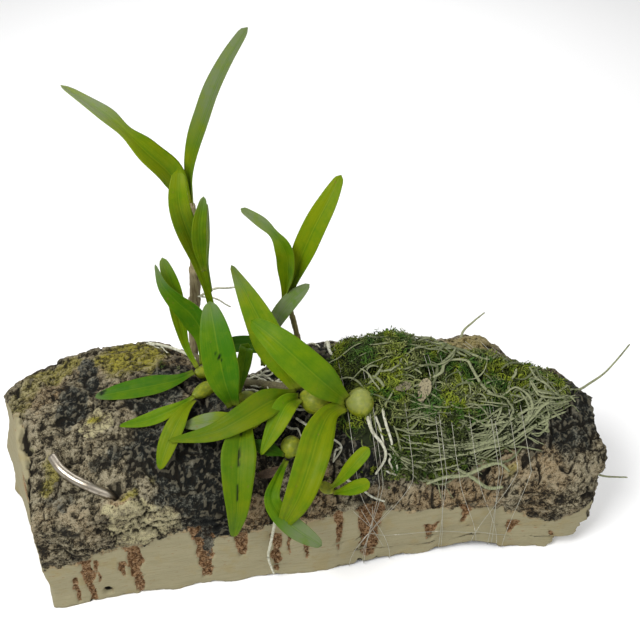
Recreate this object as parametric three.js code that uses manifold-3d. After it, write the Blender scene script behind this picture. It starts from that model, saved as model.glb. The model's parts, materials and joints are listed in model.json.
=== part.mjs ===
// Epidendrum polybulbon growing on a slab of cork bark, with its moss pad, tie line and hook.
// Millimetres, +Z up. The origin is under the middle of the slab, on the face it rests on.
// X runs along the slab, the smooth cut face looks to -Y and the bark is on top.
import * as THREE from 'three';
import { mergeVertices } from 'three/addons/utils/BufferGeometryUtils.js';
import Module from 'manifold-3d';

const wasm = await Module();
wasm.setup();

// driving sizes
const clearance = 0.32;
const slabCells = [36, 11, 5];
const crestAt = 0.6;
const leafThickness = 0.95;
const edgeThickness = 0.7;
const wireRadius = 1.45;
const wireHoleRadius = 2.2;
const lineRadius = 0.32;
const recessDepth = 1.4;
const mossCentre = [50, 0];
const mossHeight = 8.5;

// height of the bark's lower lip above the cut face, along x
const lipLine = [
  [-97, 43], [-79, 45], [-71, 42], [-62, 44], [-55, 48], [-46, 44], [-37, 38], [-29, 40], [-22, 30], [-3, 31],
  [8, 35], [16, 37], [27, 30], [35, 29], [43, 23], [52, 25], [62, 29], [84, 30], [99, 31],
];
// height of the crest and of the back edge
const crestLine = [
  [-97, 50], [-84, 55], [-60, 60], [-40, 61], [-15, 57], [10, 57], [40, 58], [65, 57], [80, 54], [90, 51],
  [99, 46],
];
const backHeight = [
  [-104, 42], [-97, 46], [-84, 48], [-66, 52], [-47, 53], [-30, 50], [-14, 48], [5, 48], [40, 48], [55, 46], [60, 45.5],
  [65, 48], [70, 45], [80, 42.5], [90, 42.5], [99, 40],
];
// plan outline, front and back
const frontLine = [
  [-97, -31], [-85, -31.5], [-60, -30.5], [-37, -29.8], [3, -30.6], [30, -29], [49, -28.3], [70, -31],
  [85, -33.5], [99, -31],
];
const backLine = [
  [-106, 20], [-97, 25], [-90, 28], [-84, 30], [-66, 34], [-47, 35], [-35, 31], [-24, 25], [-14, 19], [-5, 24],
  [5, 29], [40, 29], [65, 28], [70, 24], [75, 18], [80, 13.5], [90, 12.5], [94, 8], [99, 3],
];
const mossOutline = [
  [13, 18], [10, 2], [11, -13], [26, -24], [43, -24], [62, -23], [78, -17], [90, -10], [85, -5.5], [77, 0],
  [68, 6.5], [56, 11], [44, 17], [30, 22],
];

const barkMaterial = new THREE.MeshStandardMaterial({ color: 0x6f6655, roughness: 0.95 });
const leafMaterial = new THREE.MeshStandardMaterial({ color: 0x5d9a17, roughness: 0.45 });
const darkLeafMaterial = new THREE.MeshStandardMaterial({ color: 0x3f7420, roughness: 0.5 });
const bulbMaterial = new THREE.MeshStandardMaterial({ color: 0x9fb52c, roughness: 0.4 });
const caneMaterial = new THREE.MeshStandardMaterial({ color: 0x8d7350, roughness: 0.85 });
const rootMaterial = new THREE.MeshStandardMaterial({ color: 0xc9c8a8, roughness: 0.8 });
const mossMaterial = new THREE.MeshStandardMaterial({ color: 0x56702a, roughness: 1.0 });
const strandMaterial = new THREE.MeshStandardMaterial({ color: 0x93a673, roughness: 0.95 });
const wireMaterial = new THREE.MeshStandardMaterial({ color: 0xb9b6ae, roughness: 0.3, metalness: 1.0 });
const lineMaterial = new THREE.MeshStandardMaterial({ color: 0xcfcabd, roughness: 0.25 });

function mix(a, b, t) {
  return a + (b - a) * t;
}

function smoothstep(t) {
  const s = Math.min(Math.max(t, 0), 1);
  return s * s * (3 - 2 * s);
}

function vec(point) {
  return new THREE.Vector3(point[0], point[1], point[2]);
}

// height or position read from a line of points
function readLine(line, x) {
  if (x <= line[0][0]) {
    return line[0][1];
  }
  for (let i = 1; i < line.length; i++) {
    if (x <= line[i][0]) {
      const t = (x - line[i - 1][0]) / (line[i][0] - line[i - 1][0]);
      return mix(line[i - 1][1], line[i][1], t);
    }
  }
  return line[line.length - 1][1];
}

function softLine(line, x) {
  return (readLine(line, x - 3) + 2 * readLine(line, x) + readLine(line, x + 3)) / 4;
}

// repeatable random numbers and smooth noise
function hash(i, j, k) {
  const value = Math.sin(i * 127.1 + j * 311.7 + k * 74.7) * 43758.5453;
  return value - Math.floor(value);
}

function makeRandom(seed) {
  let count = 0;
  return () => {
    count += 1;
    return hash(seed, count, 3);
  };
}

function noise(x, y, z) {
  const i = Math.floor(x);
  const j = Math.floor(y);
  const k = Math.floor(z);
  const fx = smoothstep(x - i);
  const fy = smoothstep(y - j);
  const fz = smoothstep(z - k);
  let sum = 0;
  for (let a = 0; a < 2; a++) {
    for (let b = 0; b < 2; b++) {
      for (let c = 0; c < 2; c++) {
        const weight = (a ? fx : 1 - fx) * (b ? fy : 1 - fy) * (c ? fz : 1 - fz);
        sum += weight * hash(i + a, j + b, k + c);
      }
    }
  }
  return sum * 2 - 1;
}

// the bark's surface over a point of the plan
function barkTop(x, y) {
  const front = softLine(frontLine, x);
  const back = softLine(backLine, x);
  const v = Math.min(Math.max((y - front) / (back - front), 0), 1);
  const lip = softLine(lipLine, x);
  const crest = softLine(crestLine, x);
  const rear = softLine(backHeight, x);
  const relief = 1.9 * noise(x / 17, y / 9, 1.5) + 1.2 * noise(x / 8, y / 5, 7.5);
  if (v < crestAt) {
    return lip + (crest - lip) * (1 - (1 - v / crestAt) ** 2.2) + relief;
  }
  const s = (v - crestAt) / (1 - crestAt);
  return crest - (crest - rear) * s * s + relief;
}

// ends of the slab: the left one is sawn at a slant, the right one is broken off in layers
function leftEnd(v, w) {
  const low = -84.8 - 18.4 * v;
  const high = -83.6 - 6.5 * v - 6.5 * v * v;
  const corner = v > 0.95 ? (v - 0.95) * 30 : 0;
  return mix(low, high, w) + 1.2 * noise(v * 5, w * 4, 21) + corner;
}

function rightEnd(v, w) {
  const layer = w < 0.25 ? 85.5 : w < 0.45 ? 93.5 : 97;
  const corner = v > 0.6 ? (v - 0.6) ** 1.3 * 40 : 0;
  return layer - corner + 1.5 * noise(v * 6, w * 5, 33);
}

function slabPoint(a, b, c, grow) {
  const u = a + 0.5;
  const v = (b + 0.5) ** 1.15;
  const w = c + 0.5;
  const x = mix(leftEnd(v, w) - grow, rightEnd(v, w) + grow, u);
  const front = softLine(frontLine, x) + 0.7 * noise(x / 9, 4.5, w * 5) - grow;
  const back = softLine(backLine, x) + 0.9 * noise(x / 8, 9.5, w * 4) + grow;
  const y = mix(front, back, v);
  const top = barkTop(x, y) + grow * 1.4;
  return [x, y, mix(-2, top, w)];
}

function toSolid(geometry) {
  const bare = geometry.clone();
  bare.deleteAttribute('normal');
  bare.deleteAttribute('uv');
  const merged = mergeVertices(bare, 1e-3);
  const mesh = new wasm.Mesh({
    numProp: 3,
    vertProperties: new Float32Array(merged.attributes.position.array),
    triVerts: new Uint32Array(merged.index.array),
  });
  return new wasm.Manifold(mesh);
}

function toGeometry(solid) {
  const mesh = solid.getMesh();
  const geometry = new THREE.BufferGeometry();
  geometry.setAttribute('position', new THREE.BufferAttribute(mesh.vertProperties, 3));
  geometry.setIndex(new THREE.BufferAttribute(mesh.triVerts, 1));
  return geometry;
}

function boxSolid(low, high) {
  const box = new THREE.BoxGeometry(high[0] - low[0], high[1] - low[1], high[2] - low[2]);
  box.translate((low[0] + high[0]) / 2, (low[1] + high[1]) / 2, (low[2] + high[2]) / 2);
  return toSolid(box);
}

function largestBody(solid) {
  let best = solid;
  let volume = 0;
  for (const body of solid.decompose()) {
    if (body.volume() > volume) {
      volume = body.volume();
      best = body;
    }
  }
  return best;
}

// a round stalk along a curve, with its own radius at each point of the list
function stalk({ points, radii, sides = 6, steps = 10, ripple = 0 }, grow = 0) {
  const curve = new THREE.CatmullRomCurve3(points.map(vec), false, 'centripetal');
  const frames = curve.computeFrenetFrames(steps, false);
  const tube = new THREE.CylinderGeometry(1, 1, 1, sides, steps, false);
  const position = tube.attributes.position;
  const start = curve.getPointAt(0);
  const end = curve.getPointAt(1);
  const length = curve.getLength();
  for (let i = 0; i < position.count; i++) {
    const t = position.getY(i) + 0.5;
    const station = Math.round(t * steps);
    const centre = curve.getPointAt(t);
    if (station === 0) {
      centre.copy(start).addScaledVector(frames.tangents[0], -grow);
    }
    if (station === steps) {
      centre.copy(end).addScaledVector(frames.tangents[steps], grow);
    }
    const along = t * (radii.length - 1);
    const lower = Math.min(Math.floor(along), radii.length - 2);
    let radius = mix(radii[lower], radii[lower + 1], along - lower) + grow;
    radius += ripple * Math.sin(t * length * 1.3);
    centre.addScaledVector(frames.normals[station], position.getX(i) * radius);
    centre.addScaledVector(frames.binormals[station], -position.getZ(i) * radius);
    position.setXYZ(i, centre.x, centre.y, centre.z);
  }
  return toSolid(tube);
}

// a pseudobulb from its foot to its apex, with shallow furrows
function bulb({ foot, apex, radius, belly = 0.45, furrows = 5, depth = 0.05 }, grow = 0) {
  const sphere = new THREE.SphereGeometry(1, 12, 8);
  const position = sphere.attributes.position;
  const from = vec(foot);
  const axis = vec(apex).sub(from);
  const length = axis.length();
  const turn = new THREE.Quaternion().setFromUnitVectors(new THREE.Vector3(0, 1, 0), axis.clone().normalize());
  const point = new THREE.Vector3();
  for (let i = 0; i < position.count; i++) {
    point.fromBufferAttribute(position, i);
    const t = (point.y + 1) / 2;
    const swell = t > belly ? 1 - 0.25 * ((t - belly) / (1 - belly)) ** 2 : 1;
    const angle = Math.atan2(point.z, point.x);
    const furrow = 1 - depth * (0.5 + 0.5 * Math.cos(angle * furrows));
    const radial = (radius + grow) * swell * furrow;
    point.x *= radial;
    point.z *= radial;
    point.y = t * (length + 2 * grow) - grow;
    point.applyQuaternion(turn).add(from);
    position.setXYZ(i, point.x, point.y, point.z);
  }
  return toSolid(sphere);
}

// share of the full width along a leaf: a narrow channelled base, a broad middle and a tapering tip,
// with a narrow place where the blade twists
function leafWidthAt(t, { base = 0.3, tip = 0.24, widest = 0.5, neck = 0, taper = 2.6, twist = 0 }) {
  const narrow = twist ? 1 - 0.42 * Math.exp(-(((t - twist) / 0.09) ** 2)) : 1;
  if (t < widest) {
    return narrow * mix(base, 1, smoothstep((t - neck) / (widest - neck)));
  }
  const s = (t - widest) / (1 - widest);
  return narrow * mix(1, tip, s ** taper);
}

// a folded leaf blade along a spine, both faces split into triangles alike
function leaf(spec, grow = 0) {
  const { spine, width, face, faceEnd = face, fold = 16, cells = 4, stations = 8 } = spec;
  const curve = new THREE.CatmullRomCurve3(spine.map(vec), false, 'centripetal');
  const vertices = [];
  const row = cells + 1;
  for (let s = 0; s <= stations; s++) {
    const t = s / stations;
    const centre = curve.getPointAt(t);
    const along = curve.getTangentAt(t);
    if (s === 0) {
      centre.addScaledVector(along, -grow);
    }
    if (s === stations) {
      centre.addScaledVector(along, grow);
    }
    const up = vec(face).lerp(vec(faceEnd), t);
    const across = new THREE.Vector3().crossVectors(along, up).normalize();
    up.crossVectors(across, along).normalize();
    const half = (width / 2) * leafWidthAt(t, spec) + grow;
    const angle = THREE.MathUtils.degToRad(fold * (1.9 - 0.9 * smoothstep(t / 0.35)));
    for (const side of [1, -1]) {
      for (let c = 0; c <= cells; c++) {
        const u = (c / cells) * 2 - 1;
        const lift = half * Math.sin(angle) * Math.abs(u) ** 1.3;
        const thick = mix(leafThickness, edgeThickness, Math.abs(u)) / 2 + grow;
        const point = centre.clone();
        point.addScaledVector(across, u * half * Math.cos(angle));
        point.addScaledVector(up, lift + side * thick);
        vertices.push(point.x, point.y, point.z);
      }
    }
  }
  const index = [];
  const quad = (a, b, c, d) => index.push(a, b, c, a, c, d);
  for (let s = 0; s < stations; s++) {
    const near = s * 2 * row;
    const far = near + 2 * row;
    for (let c = 0; c < cells; c++) {
      quad(near + c, near + c + 1, far + c + 1, far + c);
      index.push(near + row + c, far + row + c + 1, near + row + c + 1);
      index.push(near + row + c, far + row + c, far + row + c + 1);
    }
    quad(near + row, near, far, far + row);
    quad(near + cells, near + row + cells, far + row + cells, far + cells);
  }
  const last = stations * 2 * row;
  for (let c = 0; c < cells; c++) {
    quad(c, row + c, row + c + 1, c + 1);
    quad(last + c, last + c + 1, last + row + c + 1, last + row + c);
  }
  const geometry = new THREE.BufferGeometry();
  geometry.setAttribute('position', new THREE.Float32BufferAttribute(vertices, 3));
  geometry.setIndex(index);
  return toSolid(geometry);
}

// a closed cord round a polygon of points
function loopCord(points, radius, sides = 3) {
  const count = points.length;
  const vertices = [];
  const index = [];
  const side = new THREE.Vector3(1, 0, 0);
  for (let i = 0; i < count; i++) {
    const before = points[(i + count - 1) % count];
    const after = points[(i + 1) % count];
    const along = after.clone().sub(before).normalize();
    const out = new THREE.Vector3().crossVectors(side, along).normalize();
    const across = new THREE.Vector3().crossVectors(along, out);
    for (let k = 0; k < sides; k++) {
      const angle = (k / sides) * Math.PI * 2;
      const point = points[i].clone();
      point.addScaledVector(out, Math.cos(angle) * radius);
      point.addScaledVector(across, Math.sin(angle) * radius);
      vertices.push(point.x, point.y, point.z);
      const next = (k + 1) % sides;
      const here = i * sides;
      const there = ((i + 1) % count) * sides;
      index.push(here + k, here + next, there + next, here + k, there + next, there + k);
    }
  }
  const geometry = new THREE.BufferGeometry();
  geometry.setAttribute('position', new THREE.Float32BufferAttribute(vertices, 3));
  geometry.setIndex(index);
  return toSolid(geometry);
}

// outline that a taut line takes round a cross-section
function tautOutline(samples) {
  const sorted = samples.slice().sort((p, q) => p[0] - q[0] || p[1] - q[1]);
  const turn = (o, p, q) => (p[0] - o[0]) * (q[1] - o[1]) - (p[1] - o[1]) * (q[0] - o[0]);
  const half = (list) => {
    const chain = [];
    for (const p of list) {
      while (chain.length > 1 && turn(chain[chain.length - 2], chain[chain.length - 1], p) <= 0.02) {
        chain.pop();
      }
      chain.push(p);
    }
    chain.pop();
    return chain;
  };
  return thinned(half(sorted).concat(half(sorted.slice().reverse())));
}

// the same outline without the points that hardly bend it
function thinned(outline) {
  const kept = outline.slice();
  for (let i = 0; i < kept.length; ) {
    const p = kept[(i + kept.length - 1) % kept.length];
    const q = kept[(i + 1) % kept.length];
    const length = Math.hypot(q[0] - p[0], q[1] - p[1]);
    const off = Math.abs((q[0] - p[0]) * (kept[i][1] - p[1]) - (q[1] - p[1]) * (kept[i][0] - p[0])) / length;
    if (off < 0.45) {
      kept.splice(i, 1);
    } else {
      i += 1;
    }
  }
  return kept;
}

// pieces are placed in order, and each later one is cut clear of the earlier ones
const part = new THREE.Group();
const placed = [];

function touches(a, b) {
  for (let i = 0; i < 3; i++) {
    if (a.max[i] < b.min[i] || b.max[i] < a.min[i]) {
      return false;
    }
  }
  return true;
}

function place(name, material, build) {
  let solid = build(0);
  const box = solid.boundingBox();
  for (const other of placed) {
    if (touches(box, other.box)) {
      solid = solid.subtract(other.grown);
    }
  }
  solid = largestBody(toSolid(toGeometry(largestBody(solid))));
  const grown = build(clearance);
  placed.push({ grown, box: grown.boundingBox() });
  const mesh = new THREE.Mesh(toGeometry(solid), material);
  mesh.name = name;
  part.add(mesh);
  return mesh;
}

// a point on the bark, or on the moss where it covers the bark
function onBark(x, y, lift) {
  return [x, y, barkTop(x, y) + lift];
}

function mossReach(x, y) {
  const angle = Math.atan2(y - mossCentre[1], x - mossCentre[0]);
  let reach = 1;
  for (let i = 0; i < mossOutline.length; i++) {
    const p = mossOutline[i];
    const q = mossOutline[(i + 1) % mossOutline.length];
    const px = p[0] - mossCentre[0];
    const py = p[1] - mossCentre[1];
    const qx = q[0] - mossCentre[0];
    const qy = q[1] - mossCentre[1];
    const cross = Math.cos(angle) * (qy - py) - Math.sin(angle) * (qx - px);
    const far = (px * (qy - py) - py * (qx - px)) / cross;
    const share = (px * Math.sin(angle) - py * Math.cos(angle)) / cross;
    if (far > 0 && share >= -1e-6 && share <= 1 + 1e-6) {
      reach = far;
    }
  }
  return reach;
}

function mossTop(x, y) {
  const distance = Math.hypot(x - mossCentre[0], y - mossCentre[1]) / mossReach(x, y);
  if (distance >= 1) {
    return barkTop(x, y);
  }
  const dome = mossHeight * (1 - distance ** 3) ** 0.7;
  return barkTop(x, y) + dome * (1 + 0.22 * noise(x / 7, y / 6, 51)) + 0.6 * noise(x / 3, y / 3, 13);
}

// the hook wire: a straight tail over the bark and a leg down its drilled hole
const wireTail = [[-76.4, -14.2, 55.6], [-73.6, -18.8, 54.6], [-69.8, -22, 53.2], [-66, -24, 51.9]];
const wireLeg = [[-63.6, -24.7, 50.4], [-61.4, -24.9, 48.6], [-59.8, -25, 46], [-58.8, -25, 42.4]];
const wireEnd = [-58.4, -25, 39.2];
const holeEnd = [-58.2, -25, 37.8];

function slab(grow) {
  const box = new THREE.BoxGeometry(1, 1, 1, slabCells[0], slabCells[1], slabCells[2]);
  const position = box.attributes.position;
  for (let i = 0; i < position.count; i++) {
    const point = slabPoint(position.getX(i), position.getY(i), position.getZ(i), grow);
    position.setXYZ(i, point[0], point[1], point[2]);
  }
  return toSolid(box).subtract(boxSolid([-120, -60, -20], [120, 60, grow > 0 ? -1 : 0]));
}

function woundSlab(grow) {
  const hole = { points: [...wireLeg, holeEnd], sides: 8, steps: 6 };
  hole.radii = [wireHoleRadius - grow, wireHoleRadius - grow];
  let solid = slab(grow).subtract(stalk(hole));
  solid = solid.subtract(boxSolid([8, -60, -5], [32, 60, recessDepth]));
  return solid.subtract(boxSolid([41, -60, -5], [72, 60, recessDepth]));
}

place('cork_slab', barkMaterial, woundSlab);
place('wire_hook', wireMaterial, (grow) => stalk(
  { points: [...wireTail, ...wireLeg, wireEnd], radii: [wireRadius, wireRadius], sides: 8, steps: 14 }, grow));

// pseudobulbs and the growths that carry the leaves
const bulbs = {
  bulb_round: { foot: [23.6, -7.6, 56.8], apex: [14.6, -8.4, 58.2], radius: 4.8 },
  bulb_oval: { foot: [9.4, -7.2, 56.6], apex: [0.6, -4.4, 60.4], radius: 4.5 },
  bulb_front: { foot: [-2.6, -14.6, 52.6], apex: [-5.9, -20.6, 49.8], radius: 3.2 },
  bulb_left: { foot: [-26.4, 11, 59.4], apex: [-31.6, 7.4, 62.7], radius: 2.1 },
  bulb_neck: { foot: [-25.2, 4.4, 60.2], apex: [-32.8, -2.6, 62.8], radius: 2.4, belly: 0.35 },
  bulb_middle: { foot: [-12.4, -8.6, 56.4], apex: [-17.8, -11.6, 58.6], radius: 2.9 },
  bulb_behind: { foot: [-13.6, -0.6, 58.4], apex: [-19.6, -5.4, 59.8], radius: 2.7 },
  sheath_new_growth: { foot: [3.6, -26.2, 42.2], apex: [7.4, -30.2, 42.4], radius: 1.9 },
};
for (const [name, spec] of Object.entries(bulbs)) {
  place(name, bulbMaterial, (grow) => bulb(spec, grow));
}

const canes = {
  cane_tall: {
    points: [[-32, 28, 49.5], [-30.4, 29, 66], [-28.4, 29, 84], [-27.2, 28.4, 100], [-27, 28, 114]],
    radii: [1.6, 1.7, 1.9, 1.6, 1.1], sides: 8, steps: 12, ripple: 0.18,
  },
  cane_right: {
    points: [[4.4, 25.4, 48.5], [3.4, 26.4, 58], [2, 27.6, 66], [1, 28, 73]],
    radii: [1.1, 1, 0.9, 0.9], sides: 8, steps: 8, ripple: 0.1,
  },
};
for (const [name, spec] of Object.entries(canes)) {
  place(name, caneMaterial, (grow) => stalk(spec, grow));
}

// creeping rhizome that links the growths over the bark
const rhizomePath = [
  onBark(-32, 25, 1), onBark(-28, 16, 1), onBark(-21, 8.5, 1), onBark(-12, 4.6, 1),
  onBark(-4, 1, 1), onBark(5, -0.4, 1), onBark(13, -2.4, 1), onBark(20, -3, 1),
];
place('rhizome', caneMaterial, (grow) => stalk(
  { points: rhizomePath, radii: [1.1, 1.4, 1.2, 1.4, 1.2, 1.3, 1.1], sides: 6, steps: 16, ripple: 0.12 }, grow));

// leaves: spine from base to tip, full width, and the way the upper face looks
const towards = [-0.11, -0.72, 0.68];
const leaves = {
  leaf_tall_upright: {
    spine: [[-26.8, 28, 113], [-25.8, 31.5, 125], [-19.8, 35, 140], [-14, 38, 151.6], [-6.4, 41, 161.8]],
    width: 7, face: [-0.7, -0.62, 0.35], faceEnd: [-0.7, -0.4, 0.6], fold: 20, widest: 0.46, tip: 0.42, taper: 3,
  },
  leaf_tall_left: {
    spine: [[-27.6, 28, 112.5], [-32, 27, 125], [-38, 26, 134], [-46, 29, 143], [-59, 38, 150]],
    width: 9.4, face: [0.3, -0.75, 0.6], faceEnd: [0.4, 0.2, 0.85], fold: 12, widest: 0.3, tip: 0.42, twist: 0.6,
  },
  leaf_tall_front: {
    spine: [
      [-22.8, 18.6, 49.6], [-23, 18.6, 66], [-24.4, 18.6, 82], [-26.6, 16, 102], [-30, 12.4, 126], [-29.2, 17, 133.6],
    ],
    width: 6.8, face: [0.1, -0.85, 0.4], faceEnd: towards, fold: 20, base: 0.34, neck: 0.4, widest: 0.8,
    tip: 0.42, stations: 12,
  },
  leaf_tall_small: {
    spine: [[-25.3, 14.8, 98.4], [-25.8, 12.2, 109], [-25.4, 10.2, 118.4], [-23.2, 10, 128.6]],
    width: 4.6, face: [0.2, -0.8, 0.5], fold: 14, cells: 2, stations: 7, base: 0.4, tip: 0.3,
  },
  leaf_tall_edge: {
    spine: [[-24, 20.4, 84.6], [-24.4, 21.6, 95], [-23.2, 23.4, 104], [-22.4, 25.4, 115]],
    width: 3.6, face: [0.95, -0.2, 0.1], fold: 12, cells: 2, stations: 6, base: 0.5,
  },
  leaf_back_thin: {
    spine: [[-30.6, 9.6, 63], [-33.4, 16, 66], [-34.6, 19, 74], [-35.2, 21, 86], [-37.6, 24.6, 97]],
    width: 5.4, face: towards, fold: 18, widest: 0.66, base: 0.34, tip: 0.4, cells: 2, stations: 10,
  },
  leaf_back_wide: {
    spine: [
      [-28.6, 10.4, 63.4], [-27.8, 14.8, 71.5], [-30.4, 16.7, 78.9], [-35.1, 17.4, 85.7], [-38.2, 18.3, 91.3],
      [-39.8, 21, 97.6],
    ],
    width: 8.2, face: [-0.2, -0.75, 0.6], fold: 14, widest: 0.42, base: 0.3, tip: 0.07, taper: 1.2,
  },
  leaf_front_broad: {
    spine: [[-20.4, -6.4, 60.6], [-22.4, -6, 71], [-23.4, -2, 80], [-24, 3.4, 86], [-24.6, 9.6, 90.5]],
    width: 10.8, face: towards, fold: 12, widest: 0.45, base: 0.42, tip: 0.26,
  },
  leaf_oval_back: {
    spine: [[0, -3.6, 61.8], [-3.8, 0, 68.4], [-7, 5, 74.2], [-10, 11, 80.4], [-16.8, 23, 92.8]],
    width: 10.6, face: [-0.2, -0.66, 0.7], fold: 13, widest: 0.4, base: 0.42, tip: 0.1, taper: 1.6,
  },
  leaf_round_back: {
    spine: [[14.2, -8, 59.4], [6.8, -11, 72], [-0.5, -8.6, 80.4], [-6.8, -3.4, 85], [-12.8, 3, 87.2]],
    width: 11, face: [-0.1, -0.62, 0.78], fold: 12, widest: 0.42, base: 0.42,
  },
  leaf_round_front: {
    spine: [[14, -9.2, 58], [8.8, -13.4, 60.4], [4.4, -20.6, 60.6], [0.6, -28.7, 57.4], [-4.3, -35.9, 50], [-10, -38, 38]],
    width: 10.4, face: [0.1, -0.66, 0.72], faceEnd: [-0.2, -0.95, 0.2], fold: 12, widest: 0.4, base: 0.4,
  },
  leaf_oval_left: {
    spine: [[-0.6, -4.8, 61.6], [-9.2, -9.4, 64], [-17.4, -14.2, 63.8], [-27, -17, 61.4], [-41.2, -16.6, 59.4]],
    width: 9.4, face: [-0.1, -0.66, 0.72], faceEnd: [0, -0.4, 0.9], fold: 14, widest: 0.3, base: 0.34, tip: 0.12,
    taper: 1.3,
  },
  leaf_oval_front: {
    spine: [[-0.2, -6, 60.4], [-4.4, -10.8, 63], [-8.4, -16, 60], [-13.8, -22, 54.4]],
    width: 7.4, face: [-0.3, -0.7, 0.62], fold: 18, widest: 0.36, base: 0.5, tip: 0.12, taper: 1.7, cells: 2, stations: 8,
  },
  leaf_hanging_middle: {
    spine: [[-18, -12.2, 60], [-20.2, -20.6, 57.6], [-21.6, -28.8, 52.4], [-22.6, -34, 45], [-24.6, -36, 34]],
    width: 11, face: [0, -0.8, 0.6], faceEnd: [0, -0.98, 0.1], fold: 12, widest: 0.3, base: 0.55, tip: 0.16, taper: 1.5,
  },
  leaf_front_curled: {
    spine: [[-6.2, -21.4, 49.6], [-9.4, -28, 50], [-12, -34, 47.6], [-7.6, -38, 40.4], [2, -41, 30.6]],
    width: 6.4, face: [0, -0.7, 0.7], faceEnd: [0, -0.6, 0.8], fold: 14, widest: 0.6, base: 0.3, tip: 0.3,
  },
  leaf_dark_low: {
    spine: [[-6.6, -20.4, 51], [-11, -19.6, 53.8], [-17, -17.6, 55.4]],
    width: 4.6, face: [0, -0.5, 0.85], fold: 12, cells: 2, stations: 6,
  },
  leaf_left_flat: {
    spine: [[-31.8, 7, 63.6], [-37.6, 5, 62.8], [-46, 3.8, 62.6], [-54.6, 3, 62.4], [-63, 2.8, 61.6]],
    width: 6.8, face: [0, -0.35, 0.93], fold: 12, widest: 0.45, base: 0.28, tip: 0.2,
  },
  leaf_left_low: {
    spine: [[-32.4, -3, 63], [-38.4, -6.4, 62.4], [-46.6, -8.4, 60.8], [-55.6, -9.2, 60.2]],
    width: 4.6, face: [0.1, -0.5, 0.86], fold: 14, cells: 2, stations: 8, tip: 0.16, taper: 1.8,
  },
  leaf_left_drooping: {
    spine: [[-32.4, -3.6, 62.2], [-36, -8.4, 62.2], [-40.6, -15, 58.6], [-44.6, -21.6, 52.6]],
    width: 6.2, face: [-0.3, -0.7, 0.62], fold: 14, cells: 2, stations: 8, widest: 0.5,
  },
  leaf_right_tall: {
    spine: [[1.2, 27.6, 73], [5.6, 28.6, 88], [10.6, 31, 98.6], [15.6, 34, 106.4], [20, 38, 112.4]],
    width: 8, face: [-0.25, -0.75, 0.6], fold: 16, widest: 0.48, base: 0.32, tip: 0.3,
  },
  leaf_right_folded: {
    spine: [[0.4, 27.2, 73], [1.2, 26.4, 84], [0.6, 27, 93], [-3.6, 30, 99.6], [-12, 36.6, 104]],
    width: 7, face: [-0.7, -0.6, 0.35], faceEnd: [-0.1, -0.5, 0.85], fold: 26, widest: 0.38, base: 0.4, tip: 0.3,
    twist: 0.68, taper: 1.6,
  },
  leaf_right_grey: {
    spine: [[-9, 18.4, 51.6], [-8.4, 19, 58], [-4.4, 21.6, 67.4], [1.6, 24, 74.6], [8, 25.6, 79.6]],
    width: 5.8, face: [-0.3, -0.7, 0.6], fold: 14, cells: 2, stations: 10, widest: 0.68,
  },
  leaf_new_upper: {
    spine: [[6.6, -29.6, 44], [9.4, -31, 49.6], [13.2, -30, 54.6], [18.4, -27.4, 58.6]],
    width: 4.4, face: [-0.4, -0.7, 0.6], fold: 12, cells: 2, stations: 8, tip: 0.62, taper: 3, widest: 0.7,
  },
  leaf_new_lower: {
    spine: [[7.4, -30.6, 42.6], [11.4, -33, 46.6], [17.6, -34.6, 51]],
    width: 4.4, face: [0, -0.5, 0.85], fold: 10, cells: 2, stations: 7, tip: 0.62, taper: 3, widest: 0.66,
  },
  leaf_dark_behind: {
    spine: [[3, 24.4, 52.4], [-8, 24.4, 55], [-17.6, 25, 56.4], [-27, 23.6, 55.6]],
    width: 6, face: [0, -0.6, 0.8], fold: 12, cells: 2, stations: 8,
  },
  leaf_pointing_down: {
    spine: [[-18.4, -1.6, 61], [-16.4, 2.6, 68], [-14.8, 7.4, 71], [-16, 10.6, 66]],
    width: 4.8, face: [0.2, -0.6, 0.75], fold: 12, cells: 2, stations: 8,
  },
  leaf_pale_low: {
    spine: [[-17.6, -10.6, 60], [-25.6, -10.8, 59.8], [-36.4, -10.8, 58.8]],
    width: 5.4, face: [0, -0.35, 0.93], fold: 10, cells: 2, stations: 7,
  },
  sheath_dry: {
    spine: [[-6.6, -22, 47.6], [-10.6, -23, 46.6], [-15.4, -23, 46]],
    width: 3.4, face: [0, -0.6, 0.8], fold: 30, cells: 2, stations: 5, base: 0.6, tip: 0.4,
  },
};
const darkLeaves = ['leaf_dark_low', 'leaf_dark_behind', 'leaf_right_grey'];
for (const [name, spec] of Object.entries(leaves)) {
  let material = darkLeaves.includes(name) ? darkLeafMaterial : leafMaterial;
  if (name === 'sheath_dry') {
    material = caneMaterial;
  }
  place(name, material, (grow) => leaf(spec, grow));
}

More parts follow.
